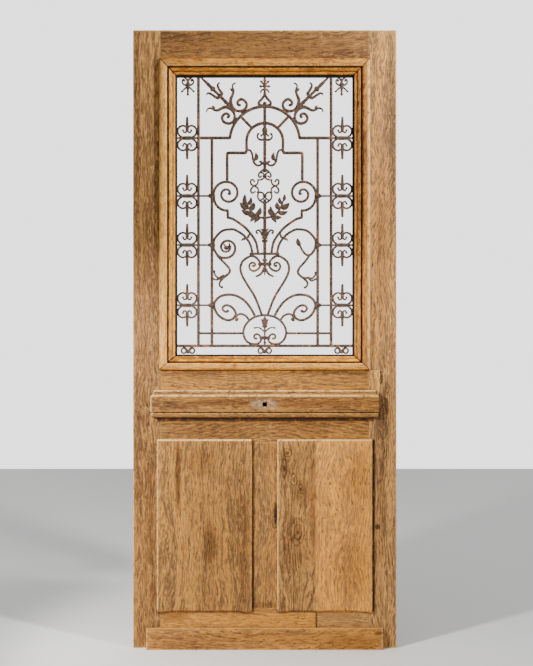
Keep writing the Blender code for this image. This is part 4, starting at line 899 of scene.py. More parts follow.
left_panel_oak = oak_material(
    "oak_left_panel", "z", ("ab7533", "835b30", "644728"), 9.0, figure=0.85, streaks=2.0,
    stains_and_shade=((0.281, -0.75, 0.022, 0.075, 0.5, 0.9, 0.7, "7c766e"),
            (0.165, -0.48, 0.010, 0.13, 0.5, 0.8, 0.75, "5c4028"),
            (0.245, -0.44, 0.05, 0.05, 0.6, 0.9, 0.35, SHADOW),
            (0.405, -0.72, 0.022, 0.25, 0.6, 0.9, 0.35, "8f6436"),
            (0.30, -0.60, 0.10, 0.3, 0.6, 0.9, 0.25, GREY)))
panel("panel_left", left_panel_oak, 91, (True, True))
inner_oak = oak_material(
    "oak_inner_board", "z", ("b47e3e", "815b34", "634528"), 10.0, figure=0.8, streaks=1.5,
    stains_and_shade=((0.550, -0.46, 0.014, 0.06, 0.5, 0.9, 0.45, "6a523c"),
            (0.615, -0.56, 0.03, 0.05, 0.6, 0.9, 0.5, "6b5848"),
            (0.60, -0.44, 0.05, 0.06, 0.6, 0.9, 0.4, GREY),
            (0.655, -0.6, 0.010, 0.22, 0.5, 0.8, 0.4, "9b6433"),
            (0.58, -0.75, 0.05, 0.1, 0.6, 0.9, 0.35, "8a7764")),
    knots=((0.563, -0.413, 0.026, 0.028, 15.0, 0.3), (0.550, -0.470, 0.016, 0.055, 13.0, 0.8),
           (0.610, -0.545, 0.024, 0.036, 17.0, 0.5),
           (0.585, -0.510, 0.020, 0.040, 14.0, 0.2), (0.60, -0.70, 0.034, 0.07, 20.0, 0.3)))
panel("panel_right_inner", inner_oak, 101, (True, False))
outer_oak = oak_material(
    "oak_outer_board", "z", ("e59a36", "bc803a", "96693b"), 11.0, figure=0.95, streaks=0.8, contrast=1.05,
    stains_and_shade=((0.80, -0.84, 0.06, 0.10, 0.6, 0.9, 0.35, GREY),
            (0.815, -0.50, 0.05, 0.08, 0.6, 0.9, 0.3, "a98f72")))
panel("panel_right_outer", outer_oak, 111, (False, True))

# %% [markdown]
# The light is framed by a bold moulding, mitred at the corners: a roll, a quirk, a hollow ovolo and
# a fillet. It is one profile carried along four straight lengths. Each length ends on a corner's
# diagonal, so each line of the profile runs round a rectangle between the outer and the inner one.
# Its wood carries a painted highlight on the roll's flank, and painted shade in the quirk, at the
# fillet and along the outer edge.

# %% Moulding round the light
LEFT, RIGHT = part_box("glazing_moulding_left"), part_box("glazing_moulding_right")
FOOT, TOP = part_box("glazing_moulding_bottom"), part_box("glazing_moulding_top")
# the edges at the left, right, foot and head of the moulding's outer and inner rectangles
OUTER = (LEFT[0].x, RIGHT[1].x, FOOT[0].z, TOP[1].z)
INNER = (LEFT[1].x, RIGHT[0].x, FOOT[1].z, TOP[0].z)
CREST = FACE - LEFT[0].y
MOULDING_BACK = LEFT[1].y
MITRE = 0.0007
REBATE = 0.08


def moulding_profile():
    """The front as (share of the width, height): roll, quirk, ovolo, fillet, as arcs and lines."""
    turn = np.linspace(-0.1, 0.97, 18) * math.pi
    roll = np.stack([0.262 - 0.250 * np.cos(turn), 0.58 + 0.42 * np.sin(turn)], 1)
    roll = np.concatenate([[(0.0, 0.30), (0.01, 0.40)], roll[1:]])
    quirk = np.array([(0.518, 0.42), (0.532, 0.18), (0.565, 0.10), (0.594, 0.18), (0.602, 0.58)])
    turn = np.linspace(0.08, 0.5, 12) * math.pi
    ovolo = np.stack([0.585 + 0.245 * np.sin(turn), 0.34 + 0.40 * np.cos(turn)], 1)
    fillet = np.array([(0.838, 0.27), (0.856, 0.24), (0.872, 0.28), (0.90, 0.30), (0.985, 0.27),
                       (1.0, 0.20)])
    return np.concatenate([roll, quirk, ovolo, fillet])


def moulding_length(side, seed):
    """The profile, closed behind, between two mitres; its height wavers with wear along the length."""
    front = moulding_profile()
    share = np.concatenate([[0.0], front[:, 0], [1.0, REBATE, REBATE]])
    height = np.concatenate([[0.0], front[:, 1] * CREST, [FACE - MOULDING_BACK, FACE - MOULDING_BACK, 0.0]])
    rings = [outer + (inner - outer) * share for outer, inner in zip(OUTER, INNER)]
    upright = side in ("left", "right")
    across = rings[("left", "right", "bottom", "top").index(side)]
    start, end = (rings[2], rings[3]) if upright else (rings[0], rings[1])
    u = np.linspace(0, 1, 240 if upright else 160)[:, None]
    length = start + MITRE + (end - start - 2 * MITRE) * u
    wear = 1 - 0.05 * np.abs(along(length, seed, 0.16)) - 0.03 * np.abs(along(length, seed + 1, 0.03))
    y = np.repeat(height[None, :], len(u), 0)
    fronts = slice(1, 1 + len(front))
    y[:, fronts] *= wear[:, fronts]
    wander = 0.0003 * waver(length, share[None, :] * 0.1 + length * 0, seed + 2, 0.20)
    width = across + wander * (share > 0.05) * (share < 0.95)
    x, z = (width, length) if upright else (length, width)
    index = np.arange(x.size).reshape(x.shape)
    turned = np.roll(index, -1, 1)
    quads = np.stack([index[:-1], index[1:], turned[1:], turned[:-1]], -1).reshape(-1, 4)
    raised = height > 0
    # pale: on the right length a painted highlight along the outer flank of the roll; on the others wear on
    # the crest and a painted highlight on the roll's flank beside the quirk
    if side == "right":
        edge = 0.8 * near_line(share, 0.10, 0.09)
    else:
        edge = np.clip((height / CREST - 0.93) / 0.07, 0, 1) * 0.25 + 0.75 * near_line(share, 0.46, 0.035)
    # dark: painted shade in the quirk, at the fillet and along the outer edge
    dirt = 1.3 * near_line(share, 0.562, 0.05) + 0.8 * near_line(share, 0.855, 0.014)
    dirt = dirt + near_line(share, 0.0, 0.02)
    edge, dirt = (np.repeat((part * raised)[None, :], len(u), 0) for part in (edge, dirt))
    # dark: dirt in the mitre joints
    dirt[[0, -1]] = 1.0
    points = np.stack([x, FACE - GAP - y, z], -1).reshape(-1, 3)
    return (points, [quads, index[0][None, :], index[-1][None, ::-1]]), edge.ravel(), dirt.ravel()


# the right length's tones are darker than the left's: painted shade on its inner band, which faces away from
# the high lamp; the left's lighter tones are painted light
for side, grain, tones, cut in (("left", "z", ("eaa84c", "c6883a", "8c5a26"), 12.0),
                                ("right", "z", ("c68636", "9c662b", "653c1a"), 13.0),
                                ("top", "x", ("d68c26", "a8681a", "6e4013"), 14.0),
                                ("bottom", "x", ("e4982a", "ba7722", "824c15"), 15.0)):
    material = oak_material("oak_moulding_" + side, grain, tones, cut, figure=0.15, streaks=1.1,
                            contrast=1.0)
    body, edge, dirt = moulding_length(side, int(cut * 10))
    make_piece(f"glazing_moulding_{side}_oak", ["glazing_moulding_" + side], "oak", material, [body],
               smooth_sides=1, edge=edge, dirt=dirt)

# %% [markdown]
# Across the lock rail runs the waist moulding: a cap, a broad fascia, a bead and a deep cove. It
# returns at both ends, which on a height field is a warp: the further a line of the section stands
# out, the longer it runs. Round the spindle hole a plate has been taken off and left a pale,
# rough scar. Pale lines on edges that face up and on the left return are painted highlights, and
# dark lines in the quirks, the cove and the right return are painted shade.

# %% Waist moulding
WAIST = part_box("waist_moulding")
WAIST_PROUD = FACE - WAIST[0].y
WAIST_TOP, WAIST_FOOT = WAIST[1].z, WAIST[0].z
WAIST_HALF = (WAIST[1].x - WAIST[0].x) / 2 - WAIST_PROUD
SCAR_HALF = 0.055
# the section: shares of the height below the top, and shares of how far it stands out
SECTION = np.array([
    (0.0, 0.50), (0.012, 0.57), (0.030, 0.61), (0.100, 0.64), (0.122, 0.66), (0.150, 0.78), (0.185, 0.94),
    (0.205, 0.99), (0.225, 1.0), (0.40, 0.985), (0.64, 1.0), (0.680, 0.99), (0.694, 0.95), (0.702, 0.76),
    (0.716, 0.72), (0.728, 0.76), (0.736, 0.86), (0.752, 0.90), (0.83, 0.90), (0.862, 0.87), (0.884, 0.78),
    (0.896, 0.60), (0.91, 0.42), (0.935, 0.30), (0.965, 0.24), (1.0, 0.20)])


def waist_section(drop):
    """How far the moulding stands out at a share of its height below its top."""
    return WAIST_PROUD * np.interp(drop, SECTION[:, 0], SECTION[:, 1])


def scar(X, Z):
    """1 inside the rough oval round the spindle hole."""
    far = np.hypot((X - HOLE_X) / SCAR_HALF, (Z - HOLE_Z - 0.001) / 0.0215)
    return np.clip((1.08 - far - 0.16 * waver(X, Z, 77, 0.018)) / 0.3, 0, 1)


def waist_lines():
    """The grid: drops below the top as shares, and for each column its X and its place in a return.

    The last number is 0 between the returns and rises to 1 through the right one, or falls to -1
    through the left one.
    """
    drops = np.unique(np.concatenate([np.linspace(0, 1, 70), SECTION[:, 0],
                                      (WAIST_TOP - np.array(HOLE[2:])) / (WAIST_TOP - WAIST_FOOT)]))[::-1]
    x = np.unique(np.concatenate([np.linspace(HOLE_X - WAIST_HALF, HOLE_X + WAIST_HALF, 150), HOLE[:2],
                                  np.arange(HOLE_X - SCAR_HALF, HOLE_X + SCAR_HALF, 0.0018)]))
    x = x[np.concatenate([[True], np.diff(x) > 3e-4]) | np.isin(x, HOLE[:2])]
    ends = np.array([0.35, 0.7, 0.9, 0.97, 1.0])
    share = np.concatenate([-ends[::-1], np.zeros(x.size), ends])
    return drops, np.pad(x, ends.size, mode="edge"), share


def waist_moulding():
    """The closed body, and its numbers for worn edges with painted highlights, for painted shade, and for
    the scar.
    """
    drops, base, share = waist_lines()
    proud = waist_section(drops)
    z = WAIST_TOP - (WAIST_TOP - WAIST_FOOT) * drops
    X = base[:, None] + share[:, None] * proud
    Z = np.repeat(z[None, :], base.size, 0)
    soft_end = fall((1 - np.abs(share))[:, None] * proud, 0.0018)
    rough = scar(X, Z)
    front = FACE - proud + soft_end + 0.0003 * np.maximum(1 + waver(X, Z * 3, 78, 0.12), 0)
    front = front + rough * (0.0006 + 0.0005 * waver(X, Z, 79, 0.007))
    mid_x, mid_z = (base[:-1] + base[1:]) / 2, (z[:-1] + z[1:]) / 2
    keep = in_hole(mid_x[:, None], mid_z[None, :]) == 0
    left_end, right_end = (share < -0.8)[:, None], (share > 0.93)[:, None]
    # pale: worn edges and painted highlights on the cap's top edges, the face that slopes up to the fascia,
    # the bead's top and the left return; none on the right return
    edge = near_line(drops, 0.018, 0.022) + 0.9 * near_line(drops, 0.172, 0.030)
    edge = edge + 0.5 * near_line(drops, 0.686, 0.010) + 0.25 * near_line(drops, 0.752, 0.016)
    edge = (edge + 0.5 * left_end) * (share < 0.93)[:, None]
    # dark: painted shade in the quirks, in the cove under the bead and over the right return
    dirt = 0.6 * near_line(drops, 0.216, 0.010) + 1.4 * near_line(drops, 0.716, 0.016)
    dirt = np.maximum(dirt + 1.4 * near_line(drops, 0.94, 0.06), 0.9 * right_end)
    return body_of(X, Z, front, np.full_like(X, FACE - GAP), keep), edge, dirt, rough


waist_oak = oak_material(
    "oak_waist", "x", ("966529", "724b23", "55361a"), 16.0, figure=0.3, streaks=1.6,
    stains_and_shade=((0.34, HOLE_Z + 0.005, 0.12, 0.012, 0.5, 0.8, 0.5, SHADOW),
            (0.67, HOLE_Z + 0.004, 0.16, 0.014, 0.6, 0.9, 0.45, "8a6237"),
            (0.16, HOLE_Z - 0.004, 0.05, 0.014, 0.6, 0.9, 0.3, SHADOW)))


def add_worn_scar(material):
    """Bare, greyed wood where the plate sat: a pale tone mixed in by the mesh's own number."""
    tree = material.node_tree
    shader = tree.nodes["Principled BSDF"]
    colour = shader.inputs["Base Color"].links[0].from_socket
    where = put(tree, "TexCoord").outputs["Object"]
    mark = put(tree, "Attribute", attribute_name="scar").outputs["Fac"]
    cloud = speckle(tree, where, (110.0, 90.0, 150.0), 3.0, 0.65)
    bare = mixed(tree, ramped(tree, cloud, 0.38, 0.62), tone("5d4c3a"), tone("a8937a"))
    mark = times(tree, mark, ramped(tree, cloud, 0.25, 0.55))
    wired(tree, shader, {"Base Color": mixed(tree, times(tree, mark, 0.45), colour, bare)})


add_worn_scar(waist_oak)
waist_body, edge, dirt, rough = waist_moulding()
make_piece("waist_moulding_oak", ["waist_moulding"], "oak", waist_oak, [waist_body],
           smooth_sides=2, edge=both_faces(edge), dirt=both_faces(dirt), scar=both_faces(rough))

# %% [markdown]
# Last of the oak is the weatherboard, which throws rain clear of the sill. Its top is bevelled,
# and its right-hand end has been knocked off at the corner.

# %% Weatherboard
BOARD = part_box("weatherboard")
BEVEL = 0.013
KNOCKED = 0.02


def bevel_and_knocks(X, Z):
    """The front falls back over the bevel at the top; the corner at the right is worn further."""
    top = BOARD[1].z
    slope = np.clip(Z - (top - BEVEL), 0, None)
    corner = np.clip((X - BOARD[1].x) / KNOCKED + 1, 0, 1) * np.clip((Z - top) / KNOCKED + 1, 0, 1)
    return slope * 0.95 + corner * 0.004 + 0.0003 * (1 + waver(X, Z * 2, 88, 0.05))


weather_oak = oak_material(
    "oak_weatherboard", "x", ("ba7e33", "9b6830", "7e562d"), 17.0, figure=0.7, streaks=1.5,
    stains_and_shade=((0.80, -1.10, 0.10, 0.03, 0.6, 0.9, 0.45, "8b7358"),
            (0.20, -1.11, 0.1, 0.02, 0.6, 0.9, 0.3, SHADOW),
            (0.892, -1.064, 0.014, 0.006, 0.5, 1.0, 0.7, "3b2c22"),
            (0.5, -1.08, 0.3, 0.02, 0.6, 0.9, 0.2, SHADOW)))
plank("weatherboard", weather_oak, (BOARD[0].x, BOARD[1].x), (BOARD[0].z, BOARD[1].z),
      slot="weathered_oak", ys=(BOARD[0].y, FACE - GAP), arris=(0.002, 0.0026, 0.002, 0.0012), seed=121,
      pitch=(0.005, 0.002), relief=bevel_and_knocks,
      fine=((), ((BOARD[1].z - BEVEL - 0.001, BOARD[1].z - BEVEL + 0.0015, 0.0005),)))

# %% [markdown]
# The grille was forged by hand from bar iron and never cleaned since: brown-black scale, with
# orange rust where rain sits, and a skin that is pitted all over. Rust isn't metal, so most of
# the surface is rough and dull.

# %% Forged iron
PIT = (0.012, 0.009, 0.007, 1)


def iron_group():
    """Scale, brown rust and orange bloom mixed by noise at three sizes; pits give the height."""
    tree, given, leave = new_group(
        "forged iron", [("Place", "vector"), ("Scale tone", "colour"), ("Rust tone", "colour"),
                        ("Bloom tone", "colour"), ("Bloom", "value")],
        [("Color", "colour"), ("Roughness", "value"), ("Metallic", "value"), ("Height", "value")])
    large, middle, pits = (speckle(tree, given["Place"], (fine,) * 3, 3.0, roughness)
                           for fine, roughness in ((22.0, 0.6), (110.0, 0.6), (520.0, 0.7)))
    rusty = ramped(tree, middle, 0.36, 0.62)
    colour = mixed(tree, rusty, given["Scale tone"], given["Rust tone"])
    low = less(tree, 0.72, times(tree, given["Bloom"], 0.4))
    cloudy = plus(tree, times(tree, large, 0.6), times(tree, middle, 0.4))
    bloom = ramped(tree, cloudy, low, plus(tree, low, 0.12))
    colour = mixed(tree, bloom, colour, given["Bloom tone"])
    colour = mixed(tree, times(tree, ramped(tree, pits, 0.56, 0.72), 0.6), colour, PIT)
    bare = less(tree, 1.0, sums(tree, "MAXIMUM", rusty, bloom))
    height = plus(tree, times(tree, pits, -0.7), times(tree, middle, 0.9))
    wired(tree, leave, {"Color": colour, "Roughness": less(tree, 0.86, times(tree, bare, 0.3)),
                        "Metallic": times(tree, bare, 0.7), "Height": height})
    return tree


IRON_GROUP = iron_group()


def iron_material(name, scale_tone, rust_tone, bloom_tone, bloom, pitted=0.7):
    """Forged iron with its own tones; bloom says how much orange there is, pitted how deep the pits look."""
    material, tree, shader = new_material(name)
    where = put(tree, "TexCoord").outputs["Object"]
    iron = placed(tree, IRON_GROUP, {"Place": where, "Scale tone": tone(scale_tone), "Bloom": bloom,
                                     "Rust tone": tone(rust_tone), "Bloom tone": tone(bloom_tone)})
    bump = put(tree, "Bump", {"Height": iron["Height"], "Strength": pitted, "Distance": 0.0006})
    wired(tree, shader, {"Base Color": iron["Color"], "Roughness": iron["Roughness"],
                         "Metallic": iron["Metallic"], "Normal": bump.outputs[0]})
    return material


SCROLL_IRON = iron_material("iron_scrolls", "392d25", "573f2e", "8c592c", 0.42)
# the frame is the same scaled iron as the scrolls, painted near black as the shade in the moulding's reveal
FRAME_IRON_IN_SHADE = iron_material("iron_frame_in_shade", "070605", "100c0a", "2c1c12", 0.1, 0.15)
print("iron materials ready")

# %% [markdown]
# The grille is drawn on a sheet, as a smith would draw it: units of about a millimetre, x from
# the middle line, z up from the sill of the clear opening. Every bar is one section, a rectangle
# with rounded corners, carried along a smooth line through a few of the sheet's points. Hammer
# marks make its width and depth waver.

# %% Bars carried along lines of the sheet
SHEET_X = 638
SHEET_Z = 1015
FRAME_LEFT, FRAME_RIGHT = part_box("grille_frame_left"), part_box("grille_frame_right")
UNIT_X = (FRAME_RIGHT[0].x - FRAME_LEFT[1].x) / SHEET_X
SHEET_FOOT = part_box("grille_frame_bottom")[1].z
UNIT_Z = (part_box("grille_frame_top")[0].z - SHEET_FOOT) / SHEET_Z
UNIT = 0.001
SHEET_MIDDLE = (FRAME_RIGHT[0].x + FRAME_LEFT[1].x) / 2
SHEET_Y = (FRAME_LEFT[0].y + FRAME_LEFT[1].y) / 2
# points round a bar's section, and how much wider it is made than drawn: against a bright
# background a thin bar looks thinner than it is
AROUND = 14
WIDEN = 1.33
DOME = np.array([(0.25, 0.42), (0.14, 0.72), (0.05, 0.92)])


def off_sheet(x, y, z):
    """Points of the sheet, with y as the depth, placed in the door in metres."""
    return np.stack([SHEET_MIDDLE + x * UNIT_X, SHEET_Y + y * UNIT, SHEET_FOOT + z * UNIT_Z], -1)


def through(points, pitch=1.6):
    """A smooth line through the points: a Catmull-Rom curve, resampled at even steps of length."""
    given = np.asarray(points, float)
    if len(given) > 2:
        ends = np.vstack([2 * given[0] - given[1], given, 2 * given[-1] - given[-2]])
        t = np.linspace(0, 1, 16, endpoint=False)[None, :, None]
        p, q, r, s = (ends[k:len(ends) - 3 + k][:, None, :] for k in range(4))
        bend, twist = 2 * p - 5 * q + 4 * r - s, 3 * q - p - 3 * r + s
        curve = 0.5 * (2 * q + (r - p) * t + bend * t ** 2 + twist * t ** 3)
        given = np.vstack([curve.reshape(-1, 2), given[-1]])
    length = np.concatenate([[0], np.cumsum(np.hypot(*np.diff(given, axis=0).T))])
    even = np.linspace(0, length[-1], max(3, int(length[-1] / pitch) + 1))
    return np.stack([np.interp(even, length, given[:, k]) for k in (0, 1)], 1)


def spiral(centre, start_radius, end_radius, start, end):
    """A volute: the radius changes evenly with the angle, in degrees from +x."""
    angle = np.radians(np.linspace(start, end, max(8, int(abs(end - start) / 6))))
    radius = np.linspace(start_radius, end_radius, len(angle))
    return np.stack([centre[0] + radius * np.cos(angle), centre[1] + radius * np.sin(angle)], 1)


def carried(line, width, depth, taper=(1, 1), y=0.0, corner=0.42, seed=1, rough=0.05, flat=(1, 1)):
    """The section, a rounded rectangle, at each point of the line; the ends close in a small dome.

    taper scales the width and flat the depth, at even steps along the line. y may vary too.
    """
    line = np.asarray(line, float)
    steps = np.gradient(line, axis=0)
    steps = steps / np.maximum(np.linalg.norm(steps, axis=1, keepdims=True), 1e-9)
    share = np.linspace(0, 1, len(line))

    def spread(values):
        """The values at even steps along the line, read at each of its points."""
        return np.interp(share, np.linspace(0, 1, np.size(values)), np.atleast_1d(values))

    marks = waver(line[:, :1], line[:, 1:], seed, 9.0)[:, 0]
    dents = waver(line[:, :1], line[:, 1:], seed + 1, 12.0)[:, 0]
    wide = WIDEN * width / 2 * spread(taper) * (1 + rough * marks)
    deep = depth / 2 * spread(flat) * (1 + rough * dents)
    middle = spread(y)
    caps = []
    for end, heading in ((0, -1), (-1, 1)):
        reach = wide[end] * 2 * DOME[:, :1] * steps[end] * heading
        size = DOME[:, 1]
        caps.append((line[end] + reach, steps[end] + reach * 0, wide[end] * size, deep[end] * size,
                     middle[end] + size * 0))
    order = (caps[0], (line, steps, wide, deep, middle), [part[::-1] for part in caps[1]])
    line, steps, wide, deep, middle = (np.concatenate([part[k] for part in order]) for k in range(5))
    v = np.linspace(0, 2 * math.pi, AROUND, endpoint=False) + math.pi / AROUND
    a, b = (np.sign(turn) * np.abs(turn) ** corner for turn in (np.cos(v), np.sin(v)))
    x = line[:, :1] + steps[:, 1:] * wide[:, None] * a
    z = line[:, 1:] - steps[:, :1] * wide[:, None] * a
    index = np.arange(x.size).reshape(x.shape)
    turned = np.roll(index, -1, 1)
    quads = np.stack([index[:-1], index[1:], turned[1:], turned[:-1]], -1).reshape(-1, 4)
    return (x, middle[:, None] + deep[:, None] * b, z), [quads, index[0][None, :], index[-1][None, ::-1]]


def rod(points, width=7.5, depth=10.0, taper=(1, 1), **choices):
    """A bar through points of the sheet."""
    return carried(through(points), width, depth, taper, **choices)


def curl(points, width=5.2, depth=8.0, taper=(0.8, 1, 1, 0.8), **choices):
    """A light bar whose ends are thinned under the hammer."""
    return carried(through(points, 1.1), width, depth, taper, **choices)


def knob(x, z, across, up, depth):
    """A blob: an egg with these half sizes, whose radius is a half circle along its axis."""
    rise = np.sin(np.linspace(-0.47, 0.47, 9) * math.pi)
    line = np.stack([np.full(9, x), z + up * rise], 1)
    shape = np.sqrt(np.maximum(1 - rise ** 2, 0.02))
    return carried(line, 2 * across, 2 * depth, shape, flat=shape, corner=0.95, rough=0.02)


LEAF_TAPER = (0.3, 0.7, 1.0, 1.0, 0.85, 0.55, 0.14)
LEAF_FLAT = (1, 1, 1, 0.9, 0.8, 0.7, 0.4)


def leaf(base, tip, width, depth=5.0, bend=0.0, lift=0.0):
    """A leaf cut from sheet: narrow at its base, widest past the middle, pointed, and bent aside."""
    base, tip = np.asarray(base, float), np.asarray(tip, float)
    aside = np.array([base[1] - tip[1], tip[0] - base[0]]) * bend
    line = through([base, (base + tip) / 2 + aside, tip], 1.0)
    raised = (0, -lift * 0.3, -lift)
    return carried(line, 0.88 * width, depth, LEAF_TAPER, flat=LEAF_FLAT, y=raised, corner=0.7)


def hooked(points, width, depth, seed=3):
    """A small scroll that ends in a blob, as a smith leaves the end of a bar."""
    line = through(points, 1.1)
    return [carried(line, width, depth, (0.9, 1, 1, 0.75), seed=seed),
            knob(*line[-1], width * 0.62, width * 0.62, depth * 0.55)]


def mirror(parts):
    """The same bodies on the other side of the sheet's middle line."""
    return [((-x, y, z), faces) for (x, y, z), faces in parts]


def both(parts):
    """The bodies drawn on the right, and their mirror images."""
    return parts + mirror(parts)


def moved(parts, dx, dz):
    """The same bodies at another place on the sheet."""
    return [((x + dx, y, z + dz), faces) for (x, y, z), faces in parts]


def line_pair(points):
    """A line that starts on the middle line, joined there to its own mirror image."""
    return [(-x, z) for x, z in reversed(points) if x] + list(points)


def iron(node, parts, material=SCROLL_IRON):
    """Bodies on the sheet made into one finished piece that stands for a solid."""
    bodies = [(off_sheet(*grids).reshape(-1, 3), faces) for grids, faces in parts]
    return make_piece(node + "_iron", [node], "iron", material, bodies)


def iron_pair(node, parts):
    """The piece drawn on the right, and its mirror image on the left."""
    iron(node + "_right", parts)
    iron(node + "_left", mirror(parts))


print("a unit of the sheet, in mm:", round(UNIT_X * 1000, 4), "across and", round(UNIT_Z * 1000, 4), "up")

# %% [markdown]
# Straight iron first: a thin frame of flat bar inside the moulding, the uprights, the cross bar at
# the foot and the thin low bars. They are pinned through each other, which here is a plain
# crossing. The frame's iron is painted near black, as the shade in the reveal round it.

# %% Frame and straight bars
OUTER_X, INNER_X = 241, 192.2
CROSS_Z, LOW_Z, SHOULDER_Z = 32.4, 78.3, 792.8
EDGE_X = SHEET_X / 2
BAR_X = (FRAME_LEFT[1].x - FRAME_LEFT[0].x) / UNIT_X
BAR_Z = (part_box("grille_frame_top")[1].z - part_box("grille_frame_top")[0].z) / UNIT_Z
FLAT = {"corner": 0.16, "rough": 0.02}
FRAME_DEPTH = 19.6


def straight(start, end, width, depth, **choices):
    """A straight bar with a point every few units, so that hammer marks show on it."""
    return carried(through([start, end], 4.0), width, depth, **choices)


for side, x in (("left", -EDGE_X - BAR_X / 2), ("right", EDGE_X + BAR_X / 2)):
    upright = straight((x, 1 - BAR_Z), (x, SHEET_Z + BAR_Z - 1), BAR_X, FRAME_DEPTH, **FLAT)
    iron("grille_frame_" + side, [upright], FRAME_IRON_IN_SHADE)
for side, z in (("bottom", -BAR_Z / 2), ("top", SHEET_Z + BAR_Z / 2)):
    level = straight((1 - EDGE_X, z), (EDGE_X - 1, z), BAR_Z, FRAME_DEPTH, **FLAT)
    iron("grille_frame_" + side, [level], FRAME_IRON_IN_SHADE)

BAR = {"corner": 0.24, "rough": 0.035}
for reach, x, head, seed in (("outer", OUTER_X, SHEET_Z - 1, 5), ("inner", INNER_X, SHOULDER_Z - 3, 7)):
    iron_pair("upright_" + reach, [straight((x, CROSS_Z + 3), (x, head), 8, 12, seed=seed, **BAR)])
iron("cross_bar_bottom", [straight((2 - EDGE_X, CROSS_Z), (EDGE_X - 2, CROSS_Z), 7.6, 12.4, seed=9, **BAR)])
iron_pair("low_bar", [straight((77, LOW_Z), (OUTER_X - 3, LOW_Z), 6.6, 6, seed=11, **BAR)])

# %% [markdown]
# Two arches stand one inside the other on shoulders. Bends in bar this thick are tight but never
# sharp, so each corner is a short quarter turn, and spokes tie the arches together.

# %% Arches, spindle and finial
ARCH_Z, ARCH_R, INNER_R = 781, 127, 66.2
INNER_SHOULDER, INNER_LEG, LEG_FOOT = 738.2, 136.5, 640

outer_arc = spiral((0, ARCH_Z), ARCH_R, ARCH_R, 5.2, 174.8)
shoulder = straight((ARCH_R - 1, SHOULDER_Z), (OUTER_X - 3, SHOULDER_Z), 8, 11.7, seed=13, **BAR)
iron("arch_outer", [carried(outer_arc, 8, 12, seed=15, **BAR)] + both([shoulder]))

inner_arc = spiral((0, ARCH_Z), INNER_R, INNER_R, 0, 180)
leg = through([(INNER_R, ARCH_Z + 2), (INNER_R, ARCH_Z - 8), (INNER_R, INNER_SHOULDER + 9),
               (INNER_R + 2.5, INNER_SHOULDER + 2.5), (INNER_R + 9, INNER_SHOULDER),
               (INNER_LEG - 9, INNER_SHOULDER), (INNER_LEG - 2.5, INNER_SHOULDER - 2.5),
               (INNER_LEG, INNER_SHOULDER - 9), (INNER_LEG, LEG_FOOT + 20), (INNER_LEG, LEG_FOOT)])
slant = math.radians(46)
spoke = [(r * math.cos(slant), ARCH_Z + r * math.sin(slant)) for r in (INNER_R + 2, ARCH_R - 2)]
iron("arch_inner", [carried(inner_arc, 8, 11.9, seed=17, **BAR)]
     + both([carried(leg, 8, 11.5, seed=19, **BAR), rod(spoke, 7.5, 10)]))

bracket = [rod([(64, 748), (54, 748), (46, 735), (41, 707), (29, 693), (15, 694), (10, 703), (16, 707)],
               6.4, 9.4, (0.8, 1, 1, 0.8)),
           knob(16, 706, 4.2, 4.2, 5),
           leaf((37, 708), (33, 741), 11, 6.5, 0.12, 2), leaf((37, 710), (25, 732), 7, 5.5, 0.2, 2)]
crown = curl(line_pair([(0, 788), (12, 785.6), (21, 788.4), (27, 797), (25, 806)]), 6, 7.6)
spindle = [straight((0, ARCH_Z + ARCH_R - 3), (0, 690), 9, 7, seed=21, **BAR), knob(0, 820, 8, 14, 7),
           rod([(-14, 700), (14, 700)], 8, 11.4), crown,
           curl(line_pair([(0, 813), (7, 807), (13, 800.6)]), 5, 6)]
spindle += both([knob(23.4, 807.6, 4, 4, 4.5), knob(12.6, 801, 3.6, 3.6, 4)] + bracket)
iron("spindle", spindle)

heart = [rod([(1, 949), (10, 936), (20, 925.5), (23, 918), (20, 913.6)], 7, 8, (1.1, 1, 1, 0.9)),
         knob(17, 914.6, 4.6, 4.4, 4.8)]
ears = [rod([(2, 989), (8, 993.6), (13.4, 998.4), (14.2, 1002)], 5, 6, (1, 1, 0.8)),
        knob(12.6, 999.6, 3.8, 3.8, 3.8),
        rod([(1, 983), (13, 982)], 4.6, 6), knob(14.2, 981.6, 5, 4.8, 4.2),
        rod([(1, 971.4), (8, 969), (13.4, 963.6), (15.4, 958.6)], 5, 6.6, (1.1, 1, 0.8))]
finial = [rod([(-18, 911.6), (18, 911.6)], 7.6, 8.2), knob(0, 920.6, 5.6, 5.2, 5.2),
          rod([(0, 918), (0, 909)], 4.6, 7),
          rod([(0, 946), (0, 958), (0, 975), (0, 1000), (0, 1013)], 6, 8.4, (1.7, 1.1, 0.95, 0.9, 0.9)),
          knob(0, 982, 6.4, 6, 5.2), leaf((0, 994), (0, 1015), 10.5, 6.6)]
iron("finial_top", finial + both(heart + ears))

# %% [markdown]
# Into each top corner points a barbed spear, and two flames lick up beside it. The spear is a bar
# with a trident band, and the flames are S-curves that thin out to a point.

# %% Corner spears and pendants
spear = [rod([(196, 979), (150, 933), (128, 911), (112, 895)], 8, 8.8, (1, 1, 1.25, 1)),
         knob(140, 922, 6.4, 6.4, 6),
         rod([(193, 976), (204, 987), (218, 1001), (235, 1017)], 8.4, 8, (1.05, 1.2, 0.8, 0.4), corner=0.6),
         rod([(184.5, 976.5), (193.5, 967.5)], 11, 11.6, corner=0.6, rough=0.02),
         rod([(155, 954), (171, 938)], 9, 9.6, corner=0.35),
         curl([(154, 954), (160, 962), (167.5, 974), (171, 985), (168, 992.6), (163, 994)],
              7.4, 7.2, (1.1, 1, 0.9, 0.5)),
         curl([(171, 938), (180, 943), (193, 952), (202, 956.5), (209, 955.4), (212, 951)],
              7.4, 7.2, (1.1, 1, 0.9, 0.5))]
upper_flame = through([(106, 994), (116, 988), (117, 978), (113, 965), (118, 948), (124, 932), (121, 914),
                       (110, 897), (94, 891), (78, 894), (68, 904), (66, 918), (76, 931), (87, 934),
                       (98, 926), (98, 916), (90, 912)], 1.4)
